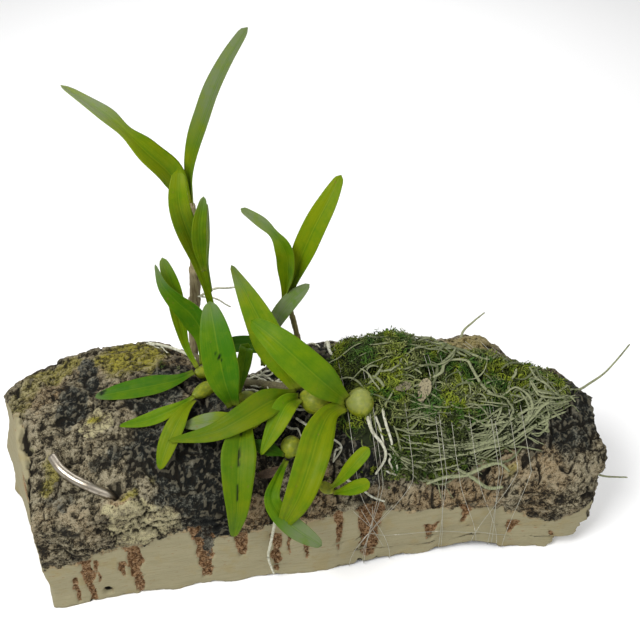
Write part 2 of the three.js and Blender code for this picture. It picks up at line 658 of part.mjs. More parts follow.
// aerial roots over the bark and down the cut face
const roots = {
  root_long: {
    points: [[21, -11.2, 54.4], [22, -15.8, 51.8], [24.6, -18.8, 49], [25.4, -20.4, 47.2], [25, -22, 45.2],
      [21.4, -25.4, 42.4]],
    radii: [0.9, 0.8, 0.7, 0.5], steps: 12,
  },
  root_joining: {
    points: [[26.4, -9, 55], [26.6, -13.6, 52.8], [27.6, -18, 49.6], [28.4, -21.2, 44.8], [29.2, -24, 40.6]],
    radii: [0.8, 0.7, 0.5], steps: 9,
  },
  root_under_bulbs: {
    points: [[-1.6, -9.4, 55.2], [4.4, -13.6, 52.6], [11.6, -18.4, 49.6], [8.4, -22, 46.6]],
    radii: [0.8, 0.7, 0.5], steps: 9,
  },
  root_low: {
    points: [[12, -26, 42.4], [15.4, -27.6, 40.8], [19.6, -29.6, 37], [24, -30, 34]],
    radii: [0.6, 0.6, 0.45], steps: 8,
  },
  root_face: {
    points: [[-10.4, -29.4, 37], [-11.6, -31.8, 31.6], [-13.2, -32, 21.6], [-14.2, -32, 14.8], [-12.6, -32, 3.6]],
    radii: [0.8, 0.8, 0.7, 0.5], steps: 9,
  },
  root_ridge: {
    points: [onBark(-47, 31.6, 0.7), onBark(-43, 30, 0.9), onBark(-39, 29, 0.8), onBark(-35.4, 27, 0.8),
      onBark(-31, 20, 0.9)],
    radii: [0.5, 0.7, 0.6], steps: 9,
  },
  root_tangle: {
    points: [onBark(-18, 9, 0.9), onBark(-12, 5, 1.3), onBark(-7, 4, 0.9), onBark(-2, 6, 1.2), onBark(3, 3, 0.9)],
    radii: [0.7, 0.8, 0.7], steps: 10,
  },
  root_stub: {
    points: [onBark(13, 21, 0.4), onBark(13, 19, 3.4), onBark(13.4, 15, 1.6), onBark(15, 12.6, 0.8)],
    radii: [1.2, 0.9, 0.7, 0.6], steps: 8,
  },
  root_thin_upper: {
    points: [[-27.8, 27.8, 77], [-22.4, 27, 80.4], [-18.6, 27.4, 79.8], [-13, 28, 79.4]],
    radii: [0.5, 0.45, 0.35], sides: 5, steps: 7,
  },
};
for (const [name, spec] of Object.entries(roots)) {
  place(name, rootMaterial, (grow) => stalk({ sides: 5, ...spec }, grow));
}

// tie line: taut loops round the slab and the moss, joined by a line across the face
const loops = [
  [42, 45], [47, 57], [53, 64], [61, 61], [66, 55], [70, 66], [15, 27], [33, 13], [23, 17.5],
];
const lineLift = lineRadius + 0.5;

function loopPoints(topX, bottomX) {
  const samples = [];
  const xAt = (z) => mix(bottomX, topX, smoothstep((z - 2) / 46));
  for (let i = 0; i <= 60; i++) {
    const y = mix(-36, 34, i / 60);
    for (const dx of [-0.8, 0, 0.8]) {
      const x = topX + dx;
      if (y > softLine(frontLine, x) - 0.5 && y < softLine(backLine, x) + 0.5) {
        samples.push([y, mossTop(x, y) + lineLift + 1]);
      }
    }
  }
  for (let z = 1.5; z < 44; z += 3) {
    const front = softLine(frontLine, xAt(z));
    const back = softLine(backLine, xAt(z));
    samples.push([front - 0.9 - lineLift, z], [back + 1.1 + lineLift, z]);
  }
  samples.push([softLine(frontLine, bottomX) - 0.4, 0.55], [softLine(backLine, bottomX) + 0.6, 0.55]);
  const outline = tautOutline(samples);
  return outline.map((p) => new THREE.Vector3(xAt(p[1]), p[0], p[1]));
}

function pointAtHeight(points, z) {
  let best = null;
  for (let i = 0; i < points.length; i++) {
    const p = points[i];
    const q = points[(i + 1) % points.length];
    if ((p.z - z) * (q.z - z) <= 0 && p.z !== q.z) {
      const point = p.clone().lerp(q, (z - p.z) / (q.z - p.z));
      if (!best || point.y < best.y) {
        best = point;
      }
    }
  }
  return best;
}

function tieLine(grow) {
  const paths = loops.map(([topX, bottomX]) => loopPoints(topX, bottomX));
  let solid = null;
  for (const path of paths) {
    const cord = loopCord(path, lineRadius + grow);
    solid = solid ? solid.add(cord) : cord;
  }
  const crossing = paths.map((path, i) => pointAtHeight(path, mix(19, 10.5, (loops[i][1] - 13) / 46)));
  crossing.sort((p, q) => p.x - q.x);
  for (let i = 1; i < crossing.length; i++) {
    const points = [crossing[i - 1].toArray(), crossing[i].toArray()];
    if (crossing[i].distanceTo(crossing[i - 1]) > 0.3) {
      const piece = stalk({ points, radii: [lineRadius, lineRadius], sides: 4, steps: 1 }, grow);
      solid = solid.add(piece);
    }
  }
  return solid;
}
place('tie_line', lineMaterial, tieLine);

// moss pad: a domed core with tufts, pressed down under the tie line
function mossCore(grow) {
  const sphere = new THREE.SphereGeometry(1, 22, 8);
  const position = sphere.attributes.position;
  for (let i = 0; i < position.count; i++) {
    const px = position.getX(i);
    const pz = position.getZ(i);
    const up = position.getY(i);
    const angle = Math.atan2(-pz, px);
    const reach = mossReach(mossCentre[0] + Math.cos(angle), mossCentre[1] + Math.sin(angle));
    const radial = Math.min(Math.hypot(px, pz) ** 1.4, 0.985);
    const x = mossCentre[0] + Math.cos(angle) * reach * radial;
    const y = mossCentre[1] + Math.sin(angle) * reach * radial;
    const under = barkTop(x, y) - 2.5 * (1 - radial) - 0.4 - grow * 2;
    const z = up > 1e-6 ? mossTop(x, y) + grow * 1.6 : under;
    position.setXYZ(i, x + Math.cos(angle) * radial * grow, y + Math.sin(angle) * radial * grow, z);
  }
  return toSolid(sphere);
}

function tuft(x, y, height, radius, lean, grow) {
  const cone = new THREE.ConeGeometry(radius + grow, height + 2.4 + 3 * grow, 3, 1);
  cone.rotateX(Math.PI / 2);
  cone.rotateY(lean[0]);
  cone.rotateX(lean[1]);
  cone.translate(x, y, mossTop(x, y) + height / 2 - 1.2);
  return toSolid(cone);
}

// a strand that creeps over the pad, half sunk in it
function mossStrand(random) {
  const angle = random() * Math.PI * 2;
  const share = Math.sqrt(random()) * 0.7;
  const reach = mossReach(mossCentre[0] + Math.cos(angle), mossCentre[1] + Math.sin(angle));
  const x = mossCentre[0] + Math.cos(angle) * reach * share;
  const y = mossCentre[1] + Math.sin(angle) * reach * share;
  const heading = (random() - 0.5) * 1.8;
  const bend = (random() - 0.5) * 0.9;
  const length = mix(10, 24, random());
  const points = [];
  for (let i = 0; i <= 4; i++) {
    const along = (i / 4 - 0.5) * length;
    const turn = heading + bend * (i / 4);
    const px = x + Math.cos(turn) * along;
    const py = y + Math.sin(turn) * along;
    points.push([px, py, mossTop(px, py) + 0.1 + 0.4 * Math.sin((i / 4) * Math.PI)]);
  }
  return points;
}

function mossPad(grow) {
  const random = makeRandom(5);
  let solid = mossCore(grow);
  for (let i = 0; i < 9; i++) {
    const points = mossStrand(random);
    solid = solid.add(stalk({ points, radii: [0.6, 0.85, 0.6], sides: 3, steps: 5 }, grow));
  }
  for (let i = 0; i < 24; i++) {
    const angle = random() * Math.PI * 2;
    const share = Math.sqrt(random()) * 0.93;
    const reach = mossReach(mossCentre[0] + Math.cos(angle), mossCentre[1] + Math.sin(angle));
    const x = mossCentre[0] + Math.cos(angle) * reach * share;
    const y = mossCentre[1] + Math.sin(angle) * reach * share;
    const height = mix(1.2, 3, random());
    const lean = [random() - 0.5, random() - 0.5];
    solid = solid.add(tuft(x, y, height, mix(0.8, 1.3, random()), lean, grow));
  }
  return solid;
}
place('moss_pad', mossMaterial, mossPad);

// pale flattened strands that run along the moss's lower right side and stick out past the end
function strandPath(offset, start, end, seed) {
  const route = [[28, -25], [43, -22.5], [56, -22], [68, -20], [78, -15], [91, -7]];
  const points = [];
  for (let i = start; i <= end; i++) {
    const y = route[i][1] + offset + 0.8 * noise(i * 1.7, seed, 3);
    const x = route[i][0] + 1.5 * noise(i * 1.3, seed, 9);
    points.push([x, y, Math.max(mossTop(x, y), barkTop(x, y)) + 1.1 + 0.5 * noise(i * 2.1, seed, 5)]);
  }
  return points;
}

function strands(grow) {
  const core = { points: strandPath(0, 0, 5, 2), radii: [0.7, 1.5, 1.9, 1.9, 1.5, 0.7], sides: 5, steps: 10 };
  let solid = stalk(core, grow);
  const runs = [
    [1.6, 0, 4, 11], [-1.5, 0, 3, 12], [2.6, 1, 5, 13], [-2.2, 1, 4, 14], [0.8, 2, 5, 15], [-1, 0, 5, 16],
  ];
  for (const [offset, start, end, seed] of runs) {
    const points = strandPath(offset, start, end, seed);
    solid = solid.add(stalk({ points, radii: [0.45, 0.7, 0.7, 0.45], sides: 4, steps: 8 }, grow));
  }
  return solid;
}
place('moss_strands', strandMaterial, strands);

const looseStrands = {
  root_moss_upper: {
    points: [[38, -26.4, 35.6], [44, -26, 37.4], [51, -26.2, 37.6], [58, -25.6, 40.4], [62, -25.6, 40.6],
      [65, -27.6, 38.4]],
    radii: [0.5, 0.8, 0.8, 0.6], steps: 12,
  },
  root_moss_lower: {
    points: [[48, -24.6, 39.6], [53.4, -27, 36.4], [58, -29.2, 33.4], [63, -29.6, 33.4]],
    radii: [0.6, 0.8, 0.6], steps: 9,
  },
  strand_end_upper: {
    points: [[84, -9.4, 52.6], [88, -7.4, 51.6], [94.1, -5.3, 48.6], [100, -1.1, 46.4], [107.4, 3.8, 45.4],
      [112.6, 6.6, 49], [116.6, 8.6, 53.4]],
    radii: [0.6, 0.5, 0.35], steps: 10,
  },
  strand_end_right: {
    points: [[93, -22, 26], [98, -21.4, 23.4], [104, -21, 20], [112, -21, 18]],
    radii: [0.6, 0.5, 0.4], steps: 6,
  },
  strand_top: {
    points: [[60, 21, 50], [62, 24.4, 52], [66, 27, 53.4], [71, 30, 54.6]],
    radii: [0.6, 0.5, 0.4], steps: 6,
  },
};
for (const [name, spec] of Object.entries(looseStrands)) {
  place(name, strandMaterial, (grow) => stalk({ sides: 5, ...spec }, grow));
}

export default part;
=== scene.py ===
import json
import math
import random

import bpy
import numpy as np
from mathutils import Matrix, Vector

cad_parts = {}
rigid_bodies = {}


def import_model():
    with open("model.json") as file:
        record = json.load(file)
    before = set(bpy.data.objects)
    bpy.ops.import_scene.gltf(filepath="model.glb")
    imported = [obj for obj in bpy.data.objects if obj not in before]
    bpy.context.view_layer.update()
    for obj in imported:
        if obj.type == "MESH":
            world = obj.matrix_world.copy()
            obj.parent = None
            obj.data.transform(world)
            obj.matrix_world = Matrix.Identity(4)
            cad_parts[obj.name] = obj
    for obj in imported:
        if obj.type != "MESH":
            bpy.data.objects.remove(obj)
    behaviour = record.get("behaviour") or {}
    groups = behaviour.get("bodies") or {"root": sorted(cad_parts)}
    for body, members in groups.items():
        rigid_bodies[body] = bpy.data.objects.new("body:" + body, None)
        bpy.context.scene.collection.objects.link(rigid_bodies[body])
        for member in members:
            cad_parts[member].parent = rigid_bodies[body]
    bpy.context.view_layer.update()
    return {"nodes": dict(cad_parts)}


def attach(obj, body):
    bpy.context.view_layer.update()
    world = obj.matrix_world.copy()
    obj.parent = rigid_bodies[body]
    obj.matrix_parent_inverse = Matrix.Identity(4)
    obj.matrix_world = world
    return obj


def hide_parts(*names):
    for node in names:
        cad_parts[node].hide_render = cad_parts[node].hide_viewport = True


# A small orchid on a slab of cork bark, with its moss pad, tie line and hook wire.
# Sizes in the tables are millimetres; meshes are in metres, in the frame of the solids.
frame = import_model()
mm = 0.001
print("solids loaded:", len(frame["nodes"]))


# camera at the photograph's angle, pale floor, soft studio light

view = {"target": (16, 56, 34.5), "azimuth": -8.5, "elevation": 43, "distance": 362, "lens": 53.4, "sensor": 36}
studio = {
    "floor": (0.9, 0.9, 0.9), "floorHalfMetres": 4, "sky": (1, 1, 1), "skyStrength": 0.5, "aim": (0, 0, 40),
    "key": {"place": (-220, -170, 460), "size": 220, "power": 2.6},
    "fill": {"place": (340, -260, 300), "size": 380, "power": 0.7},
    "rim": {"place": (40, 380, 330), "size": 300, "power": 0.8},
}


def pointAt(thing, target):
    direction = Vector(target) * mm - thing.location
    thing.rotation_euler = direction.to_track_quat("-Z", "Y").to_euler()


def setUpCamera():
    turn = math.radians(view["azimuth"])
    lift = math.radians(view["elevation"])
    away = Vector((math.sin(turn) * math.cos(lift), -math.cos(turn) * math.cos(lift), math.sin(lift)))
    lens = bpy.data.cameras.new("camera")
    lens.lens = view["lens"]
    lens.sensor_width = view["sensor"]
    lens.clip_start = 0.01
    camera = bpy.data.objects.new("camera", lens)
    camera.location = (Vector(view["target"]) + away * view["distance"]) * mm
    pointAt(camera, view["target"])
    bpy.context.scene.collection.objects.link(camera)
    bpy.context.scene.camera = camera


def setUpStudio():
    floorMesh = bpy.data.meshes.new("floor")
    half = studio["floorHalfMetres"]
    corners = [(-half, -half, 0), (half, -half, 0), (half, half, 0), (-half, half, 0)]
    floorMesh.from_pydata(corners, [], [(0, 1, 2, 3)])
    floor = bpy.data.objects.new("floor", floorMesh)
    bpy.context.scene.collection.objects.link(floor)
    floorPaint = bpy.data.materials.new("floorPaint")
    floorPaint.use_nodes = True
    inputs = floorPaint.node_tree.nodes["Principled BSDF"].inputs
    inputs["Base Color"].default_value = (*studio["floor"], 1)
    inputs["Roughness"].default_value = 0.9
    floorMesh.materials.append(floorPaint)
    for name in ("key", "fill", "rim"):
        settings = studio[name]
        lamp = bpy.data.lights.new(name, "AREA")
        lamp.size = settings["size"] * mm
        lamp.energy = settings["power"]
        holder = bpy.data.objects.new(name, lamp)
        holder.location = Vector(settings["place"]) * mm
        pointAt(holder, studio["aim"])
        bpy.context.scene.collection.objects.link(holder)
    world = bpy.data.worlds.new("studio")
    world.use_nodes = True
    inputs = world.node_tree.nodes["Background"].inputs
    inputs["Color"].default_value = (*studio["sky"], 1)
    inputs["Strength"].default_value = studio["skyStrength"]
    bpy.context.scene.world = world
    bpy.context.scene.view_settings.view_transform = "Standard"


setUpCamera()
setUpStudio()
print("camera and studio ready")


# small numeric helpers shared by the pieces

def ease(t):
    t = np.clip(t, 0, 1)
    return t * t * (3 - 2 * t)


def unit(vectors):
    return vectors / np.maximum(np.linalg.norm(vectors, axis=-1, keepdims=True), 1e-9)


def cellValue(i, j, k):
    value = np.sin(i * 127.1 + j * 311.7 + k * 74.7) * 43758.5453
    return value - np.floor(value)


def softNoise(x, y, z):
    x, y, z = np.broadcast_arrays(np.asarray(x, float), y, z)
    i, j, k = np.floor(x), np.floor(y), np.floor(z)
    fx, fy, fz = ease(x - i), ease(y - j), ease(z - k)
    total = 0
    for a in (0, 1):
        for b in (0, 1):
            for c in (0, 1):
                weight = (fx if a else 1 - fx) * (fy if b else 1 - fy) * (fz if c else 1 - fz)
                total = total + weight * cellValue(i + a, j + b, k + c)
    return total * 2 - 1


def layeredNoise(x, y, z):
    total, size, height = 0, 1, 1
    for layer in range(3):
        total = total + height * softNoise(x * size, y * size, z + layer * 7.3)
        size, height = size * 2.03, height * 0.5
    return total


def plates(x, y, seed):
    # how much nearer the nearest of scattered centres is than the next, and a number for each plate
    i, j = np.floor(x), np.floor(y)
    nearest = np.full(x.shape, 9.0)
    second = np.full(x.shape, 9.0)
    value = np.zeros(x.shape)
    for a in (-1, 0, 1):
        for b in (-1, 0, 1):
            cx = i + a + 0.15 + 0.7 * cellValue(i + a, j + b, seed)
            cy = j + b + 0.15 + 0.7 * cellValue(i + a, j + b, seed + 31)
            far = np.hypot(x - cx, y - cy)
            closer = far < nearest
            second = np.where(closer, nearest, np.minimum(second, far))
            value = np.where(closer, cellValue(i + a, j + b, seed + 57), value)
            nearest = np.where(closer, far, nearest)
    return second - nearest, value


def readLine(line, x):
    return np.interp(x, [p[0] for p in line], [p[1] for p in line])


def softLine(line, x):
    return (readLine(line, x - 3) + 2 * readLine(line, x) + readLine(line, x + 3)) / 4


def smoothPath(points, count):
    # evenly spaced points on a curve through the given ones, and the curve's direction there
    p = np.array(points, float)
    p = np.vstack([2 * p[0] - p[1], p, 2 * p[-1] - p[-2]])
    fine = []
    share = np.linspace(0, 1, 25)[:, None]
    for a, b, c, d in zip(p, p[1:], p[2:], p[3:]):
        ab, bc, cd = (max(np.linalg.norm(q - r) ** 0.5, 1e-4) for q, r in ((a, b), (b, c), (c, d)))
        start = ((b - a) / ab - (c - a) / (ab + bc) + (c - b) / bc) * bc
        end = ((c - b) / bc - (d - b) / (bc + cd) + (d - c) / cd) * bc
        s2, s3 = share ** 2, share ** 3
        fine.append(b * (2 * s3 - 3 * s2 + 1) + start * (s3 - 2 * s2 + share) + c * (3 * s2 - 2 * s3)
                    + end * (s3 - s2))
    fine = np.vstack(fine)
    run = np.concatenate([[0], np.cumsum(np.linalg.norm(np.diff(fine, axis=0), axis=1))])
    wanted = np.linspace(0, run[-1], count)
    path = np.stack([np.interp(wanted, run, fine[:, i]) for i in range(3)], 1)
    return path, unit(np.gradient(path, axis=0)), run[-1]


def lessened(value, places, x, y, soft):
    # the value, less inside each place: x, y, half length, half depth, share that is taken away
    for px, py, rx, ry, share in places:
        value = value * (1 - share * ease((1.3 - np.hypot((x - px) / rx, (y - py) / ry)) / soft))
    return value


def join(parts):
    # several (points, faces) into one
    points, faces, base = [], [], 0
    for partPoints, partFaces in parts:
        points.append(partPoints)
        faces += [tuple(v + base for v in face) for face in partFaces]
        base += len(partPoints)
    return np.vstack(points), faces


def tubeFaces(rings, sides):
    # quads between rings of points
    return [(i * sides + k, i * sides + (k + 1) % sides, (i + 1) * sides + (k + 1) % sides, (i + 1) * sides + k)
            for i in range(rings - 1) for k in range(sides)]


def camel(name):
    words = name.split("_")
    return words[0] + "".join(word.capitalize() for word in words[1:])


def makePiece(name, points, faces, material, marks=None, uv=None):
    mesh = bpy.data.meshes.new(name)
    mesh.from_pydata((np.asarray(points) * mm).tolist(), [], faces)
    mesh.polygons.foreach_set("use_smooth", [True] * len(mesh.polygons))
    mesh.materials.append(material)
    for key, values in (marks or {}).items():
        attribute = mesh.attributes.new(key, "FLOAT", "POINT")
        attribute.data.foreach_set("value", np.asarray(values, np.float32))
    if uv is not None:
        corner = np.zeros(len(mesh.loops), np.int32)
        mesh.loops.foreach_get("vertex_index", corner)
        layer = mesh.uv_layers.new(name="UVMap")
        layer.data.foreach_set("uv", np.asarray(uv, np.float32)[corner].ravel())
    piece = bpy.data.objects.new(name, mesh)
    bpy.context.scene.collection.objects.link(piece)
    return piece


def finishPiece(piece, slotName, *nodes):
    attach(piece, "root")
    if nodes:
        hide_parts(*nodes)


# material helpers

def addNode(tree, kind, inputs=None, **settings):
    made = tree.nodes.new(kind)
    for key, value in settings.items():
        setattr(made, key, value)
    for key, value in (inputs or {}).items():
        if isinstance(value, bpy.types.NodeSocket):
            tree.links.new(value, made.inputs[key])
        else:
            made.inputs[key].default_value = value
    return made


def treeOf(*values):
    # the node tree of the first socket among the values
    return next(value.id_data for value in values if isinstance(value, bpy.types.NodeSocket))


def newFinish(name, roughness, values=None):
    # a material, and the place in millimetres that its grain is laid by
    material = bpy.data.materials.new(name)
    material.use_nodes = True
    tree = material.node_tree
    for key, value in {"Roughness": roughness, **(values or {})}.items():
        tree.nodes["Principled BSDF"].inputs[key].default_value = value
    where = addNode(tree, "ShaderNodeTexCoord").outputs["Object"]
    return material, stretched(where, (1000, 1000, 1000))


def paint(material, colour, height, depth, roughness=None):
    # joins colour, bump of a depth in millimetres, and roughness to the shader
    tree = material.node_tree
    shader = tree.nodes["Principled BSDF"]
    bump = addNode(tree, "ShaderNodeBump", {"Height": height, "Distance": depth * mm, "Strength": 1.0})
    tree.links.new(colour, shader.inputs["Base Color"])
    tree.links.new(bump.outputs["Normal"], shader.inputs["Normal"])
    if roughness is not None:
        tree.links.new(roughness, shader.inputs["Roughness"])
    return material


def stretched(where, amount):
    return addNode(where.id_data, "ShaderNodeVectorMath", {0: where, 1: amount},
                   operation="MULTIPLY").outputs[0]


def grain(where, size, detail, roughness=0.55, distortion=0.0, stretch=None):
    # noise whose main lumps are about size millimetres
    if stretch:
        where = stretched(where, stretch)
    values = {"Vector": where, "Scale": 1 / size, "Detail": detail, "Roughness": roughness,
              "Distortion": distortion}
    return addNode(where.id_data, "ShaderNodeTexNoise", values).outputs["Fac"]


def mark(where, name):
    # a number that the mesh holds at each point
    return addNode(where.id_data, "ShaderNodeAttribute", attribute_name=name).outputs["Fac"]


def calc(operation, a, b=0.0, clamp=False):
    return addNode(treeOf(a, b), "ShaderNodeMath", {0: a, 1: b}, operation=operation,
                   use_clamp=clamp).outputs[0]


def times(a, b):
    return calc("MULTIPLY", a, b)


def plus(a, b, clamp=False):
    return calc("ADD", a, b, clamp)


def aroundHalf(value, amount):
    # a noise round one half, made into a plus and minus amount
    return times(calc("SUBTRACT", value, 0.5), amount)


def spread(value, low, high):
    # 0 at low, 1 at high, soft between
    made = addNode(value.id_data, "ShaderNodeMapRange", {"Value": value, "From Min": low, "From Max": high},
                   interpolation_type="SMOOTHSTEP")
    return made.outputs[0]


def blendColour(share, first, second):
    made = addNode(treeOf(share, first, second), "ShaderNodeMix", {0: share}, data_type="RGBA")
    for index, value in ((6, first), (7, second)):
        if isinstance(value, bpy.types.NodeSocket):
            made.id_data.links.new(value, made.inputs[index])
        else:
            made.inputs[index].default_value = (*value, 1)
    return made.outputs[2]


def layered(colour, layers):
    # lays colours one over another, each by its own share
    for share, top in layers:
        colour = blendColour(share, colour, top)
    return colour


def colourRamp(value, stops):
    made = addNode(value.id_data, "ShaderNodeValToRGB", {"Fac": value})
    ramp = made.color_ramp
    while len(ramp.elements) < len(stops):
        ramp.elements.new(0.5)
    for element, (place, colour) in zip(ramp.elements, stops):
        element.position = place
        element.color = (*colour, 1)
    return made.outputs["Color"]


# cork slab

slabShape = {
    "lip": [(-97, 43), (-79, 45), (-71, 42), (-62, 44), (-55, 48), (-46, 44), (-37, 38), (-29, 40), (-22, 30),
            (-3, 31), (8, 35), (16, 37), (27, 30), (35, 29), (43, 23), (52, 25), (62, 29), (84, 30), (99, 31)],
    "crest": [(-97, 50), (-84, 55), (-60, 60), (-40, 61), (-15, 57), (10, 57), (40, 58), (65, 57), (80, 54),
              (90, 51), (99, 46)],
    "rear": [(-104, 42), (-97, 46), (-84, 48), (-66, 52), (-47, 53), (-30, 50), (-14, 48), (5, 48), (40, 48),
             (55, 46), (60, 45.5), (65, 48), (70, 45), (80, 42.5), (90, 42.5), (99, 40)],
    "front": [(-97, -31), (-85, -31.5), (-60, -30.5), (-37, -29.8), (3, -30.6), (30, -29), (49, -28.3),
              (70, -31), (85, -33.5), (99, -31)],
    "back": [(-106, 20), (-97, 25), (-90, 28), (-84, 30), (-66, 34), (-47, 35), (-35, 31), (-24, 25), (-14, 19),
             (-5, 24), (5, 29), (40, 29), (65, 28), (70, 24), (75, 18), (80, 13.5), (90, 12.5), (94, 8),
             (99, 3)],
    # how far down the front the rough bark comes
    "margin": [(-85, 23), (-78, 22), (-72, 23), (-67.5, 26.6), (-63, 26.2), (-57, 29.2), (-52.5, 27.6),
               (-43, 30.5), (-37, 33), (-33.4, 28.4), (-26, 25), (-21.7, 24.2), (-17.3, 28.7), (-12, 30.8),
               (0, 29.3), (9.5, 32.2), (24.7, 29.6), (34.5, 24.8), (62.6, 22.9), (72, 18.7), (79, 15.5),
               (85, 18.2), (90, 19), (96, 26.6)],
    "crestAt": 0.6,
    "recesses": [(8, 32), (41, 72)], "recessDepth": 1.4,
    # how high the chipped lower front edge is: x, z
    "chipped": [(-40, 0), (-20, 0.3), (6, 0), (15, 0.3), (16, 1.6), (19, 0.6), (25, 1.3), (28, 0.2), (32, 1.6),
                (35, 0.2), (41, 0), (43, 1.6), (49, 1.6), (50, 2.4), (57, 3.4), (64, 2.4), (65.5, 0.3), (68, 0),
                (83, 0)],
}
slabDetail = {
    "columns": 336, "rows": 112, "levels": 58,
    "plate": (13, 8), "plateStep": 1.5, "crackDepth": 1.4,
    "flake": (5.4, 3.4), "flakeStep": 1.15, "flakeGap": 0.7,
    "crumb": (1.9, 1.5), "crumbStep": 0.36, "grainSize": 1.15, "grainHeight": 0.5,
    "wireHole": (-58.5, -25.1), "wireHoleRadius": 1.6, "wireHoleDepth": 6,
    # brown crumbly streaks in the cut face: x, half width, top, bottom
    "streaks": [(-76.5, 1.1, 15, 1), (-71.7, 2.1, 24, 0), (-68.6, 0.7, 23, 9), (-60.7, 1.3, 19, 11),
                (-56.6, 2.5, 27, 0), (-34.4, 3.4, 33, 4), (-22.4, 2.1, 27, 13), (-11.3, 1.9, 24, 2),
                (-7.3, 0.8, 25, 11), (-1.5, 1.2, 17, 8), (9.4, 1.4, 32, 10), (19.6, 4.6, 34, 3),
                (41, 2.8, 16, 8), (51.8, 1.8, 24, 13), (68.4, 1.9, 15, 8), (82.6, 0.9, 9, 4)],
    "pits": [(-67, 4.2, 1.5)],
    # the split along the left end, beyond which the top is cut smooth: y, x
    "endSplit": [(-31, -86), (-20, -84), (-13, -83.8), (-8, -84.8), (-3, -86), (3, -86.4), (9, -89), (14, -93)],
    # plug of brown cork in the left end: y, depth below the top, half width, half height
    "plug": (-6, 25, 5, 14),
    # a black run that comes down over the front: x, lowest z
    "run": (-33, 9),
    # open cracks in the bark: points in the plan, width, depth
    "cracks": [
        ([(-44.6, 33), (-43.4, 26), (-41.4, 19), (-42.4, 13)], 0.9, 2.2),
        ([(-41, 18), (-36, 10), (-34.6, 2), (-30, -1)], 1.6, 1.8),
        ([(-62, 22), (-60.6, 16), (-61.4, 11)], 0.5, 1.0),
        ([(-71, -1), (-66, 2.6), (-58, 2.2), (-56.4, -3), (-57, -8)], 0.5, 1.0),
        ([(-72, -27.6), (-66, -28.8), (-58, -28.2)], 0.5, 0.9),
        ([(77, -13), (76.4, -20), (74.6, -27), (75, -33)], 0.7, 1.6),
        ([(80, -8), (84, -14), (92, -16)], 0.7, 1.5),
        ([(82, -24), (90, -22.6), (96, -24)], 0.6, 1.2),
        ([(-10.6, -20), (-11.4, -26), (-11.2, -31)], 0.9, 1.6),
        ([(40, -23.6), (52, -23.4), (58, -24.4), (66, -23.4), (73, -25)], 0.9, 2.0),
        ([(56, -27), (64, -28.4), (73, -28.6)], 0.6, 1.3),
        ([(8, -22), (9, -27), (9.6, -31)], 1.1, 1.4),
    ],
}
# coloured places on the bark, in the plan: x, y, half length, half depth, strength
barkPlaces = {
    "lichen": [(-52, 23, 13, 11, 1.0), (-44, 14, 5, 7, 0.6), (-78, 24, 12, 6, 0.6), (-88, 12, 6, 12, 0.35),
               (-77.5, -18, 4, 3, 0.6), (-55, -27, 3, 2.5, 0.7), (-44, -22, 3, 2.4, 0.5), (63, 18, 9, 9, 0.35),
               (-64.6, -3.6, 2.2, 1.8, 1.0), (66, -25, 3, 2, 0.5)],
    "pale": [(-63.4, -4.6, 6.8, 5, 1.0), (-58, -21, 8, 4, 0.3), (-70, 14, 6, 5, 0.3),
             (-55, -29, 9, 3.5, 0.7), (-50, -31, 12, 3, 0.6), (-85, -8, 3, 5, 0.6)],
    "warm": [(-80, 12, 8, 8, 0.7), (-66, 20, 7, 5, 0.5), (-72, -29, 14, 4, 0.25), (-36, 8, 7, 12, 0.5),
             (52, -27, 22, 5, 0.9), (78, -28, 9, 5, 0.6), (-58.5, -25, 3.4, 3, 0.9), (62, 20, 9, 8, 0.5),
             (24, -27, 10, 4, 0.5), (88, 6, 8, 6, 0.4), (-16, -29, 9, 5, 0.9), (3, -28, 10, 5, 0.9),
             (-40, 27, 5, 7, 0.7), (-56, 6, 6, 4, 0.6)],
    "light": [(-87, 10, 11, 15, 0.5), (-74, -10, 14, 8, 0.35), (-73, -27, 18, 6, 1.0), (-52, -28, 12, 5, 0.9),
              (88, -27, 12, 6, 0.9), (52, -27, 28, 6, 1.0), (4, -28, 13, 6, 0.8),
              (-16, -29, 9, 4, 0.6), (62, 20, 14, 9, 1.0), (-66, 22, 10, 7, 0.6), (-60, -12, 8, 4, 0.6),
              (70, 14, 8, 8, 0.6)],
    "stain": [(-66, 16, 4, 9, 0.9), (-71, 4, 5, 9, 0.7), (-36, -17, 20, 13, 1.0), (-31, -29, 6, 8, 1.0),
              (-20, -6, 16, 12, 0.9), (-40, 6, 9, 10, 0.8), (0, -8, 22, 14, 0.9), (-76, -26, 6, 3, 0.5),
              (24, -18, 16, 10, 0.9), (30, 8, 26, 16, 0.9), (86, -14, 16, 11, 0.75), (91, -4, 9, 8, 0.65),
              (74, -15, 8, 6, 0.7), (10, 14, 24, 12, 0.8), (-46, -2, 9, 5, 0.9), (-56, -15, 5, 3, 0.6),
              (-62, -18, 5, 3, 0.5)],
}


def slabLine(name, x):
    return softLine(slabShape[name], x)


def barkTop(x, y):
    front = slabLine("front", x)
    back = slabLine("back", x)
    v = np.clip((y - front) / (back - front), 0, 1)
    lip = slabLine("lip", x)
    crest = slabLine("crest", x)
    rear = slabLine("rear", x)
    relief = 1.9 * softNoise(x / 17, y / 9, 1.5) + 1.2 * softNoise(x / 8, y / 5, 7.5)
    at = slabShape["crestAt"]
    rising = lip + (crest - lip) * (1 - (1 - np.minimum(v / at, 1)) ** 2.2)
    falling = crest - (crest - rear) * np.clip((v - at) / (1 - at), 0, 1) ** 2
    return np.where(v < at, rising, falling) + relief


def leftEnd(v, w):
    low = -84.8 - 18.4 * v
    high = -83.6 - 6.5 * v - 6.5 * v * v
    corner = np.where(v > 0.95, (v - 0.95) * 30, 0)
    return low + (high - low) * w + 1.2 * softNoise(v * 5, w * 4, 21) + corner


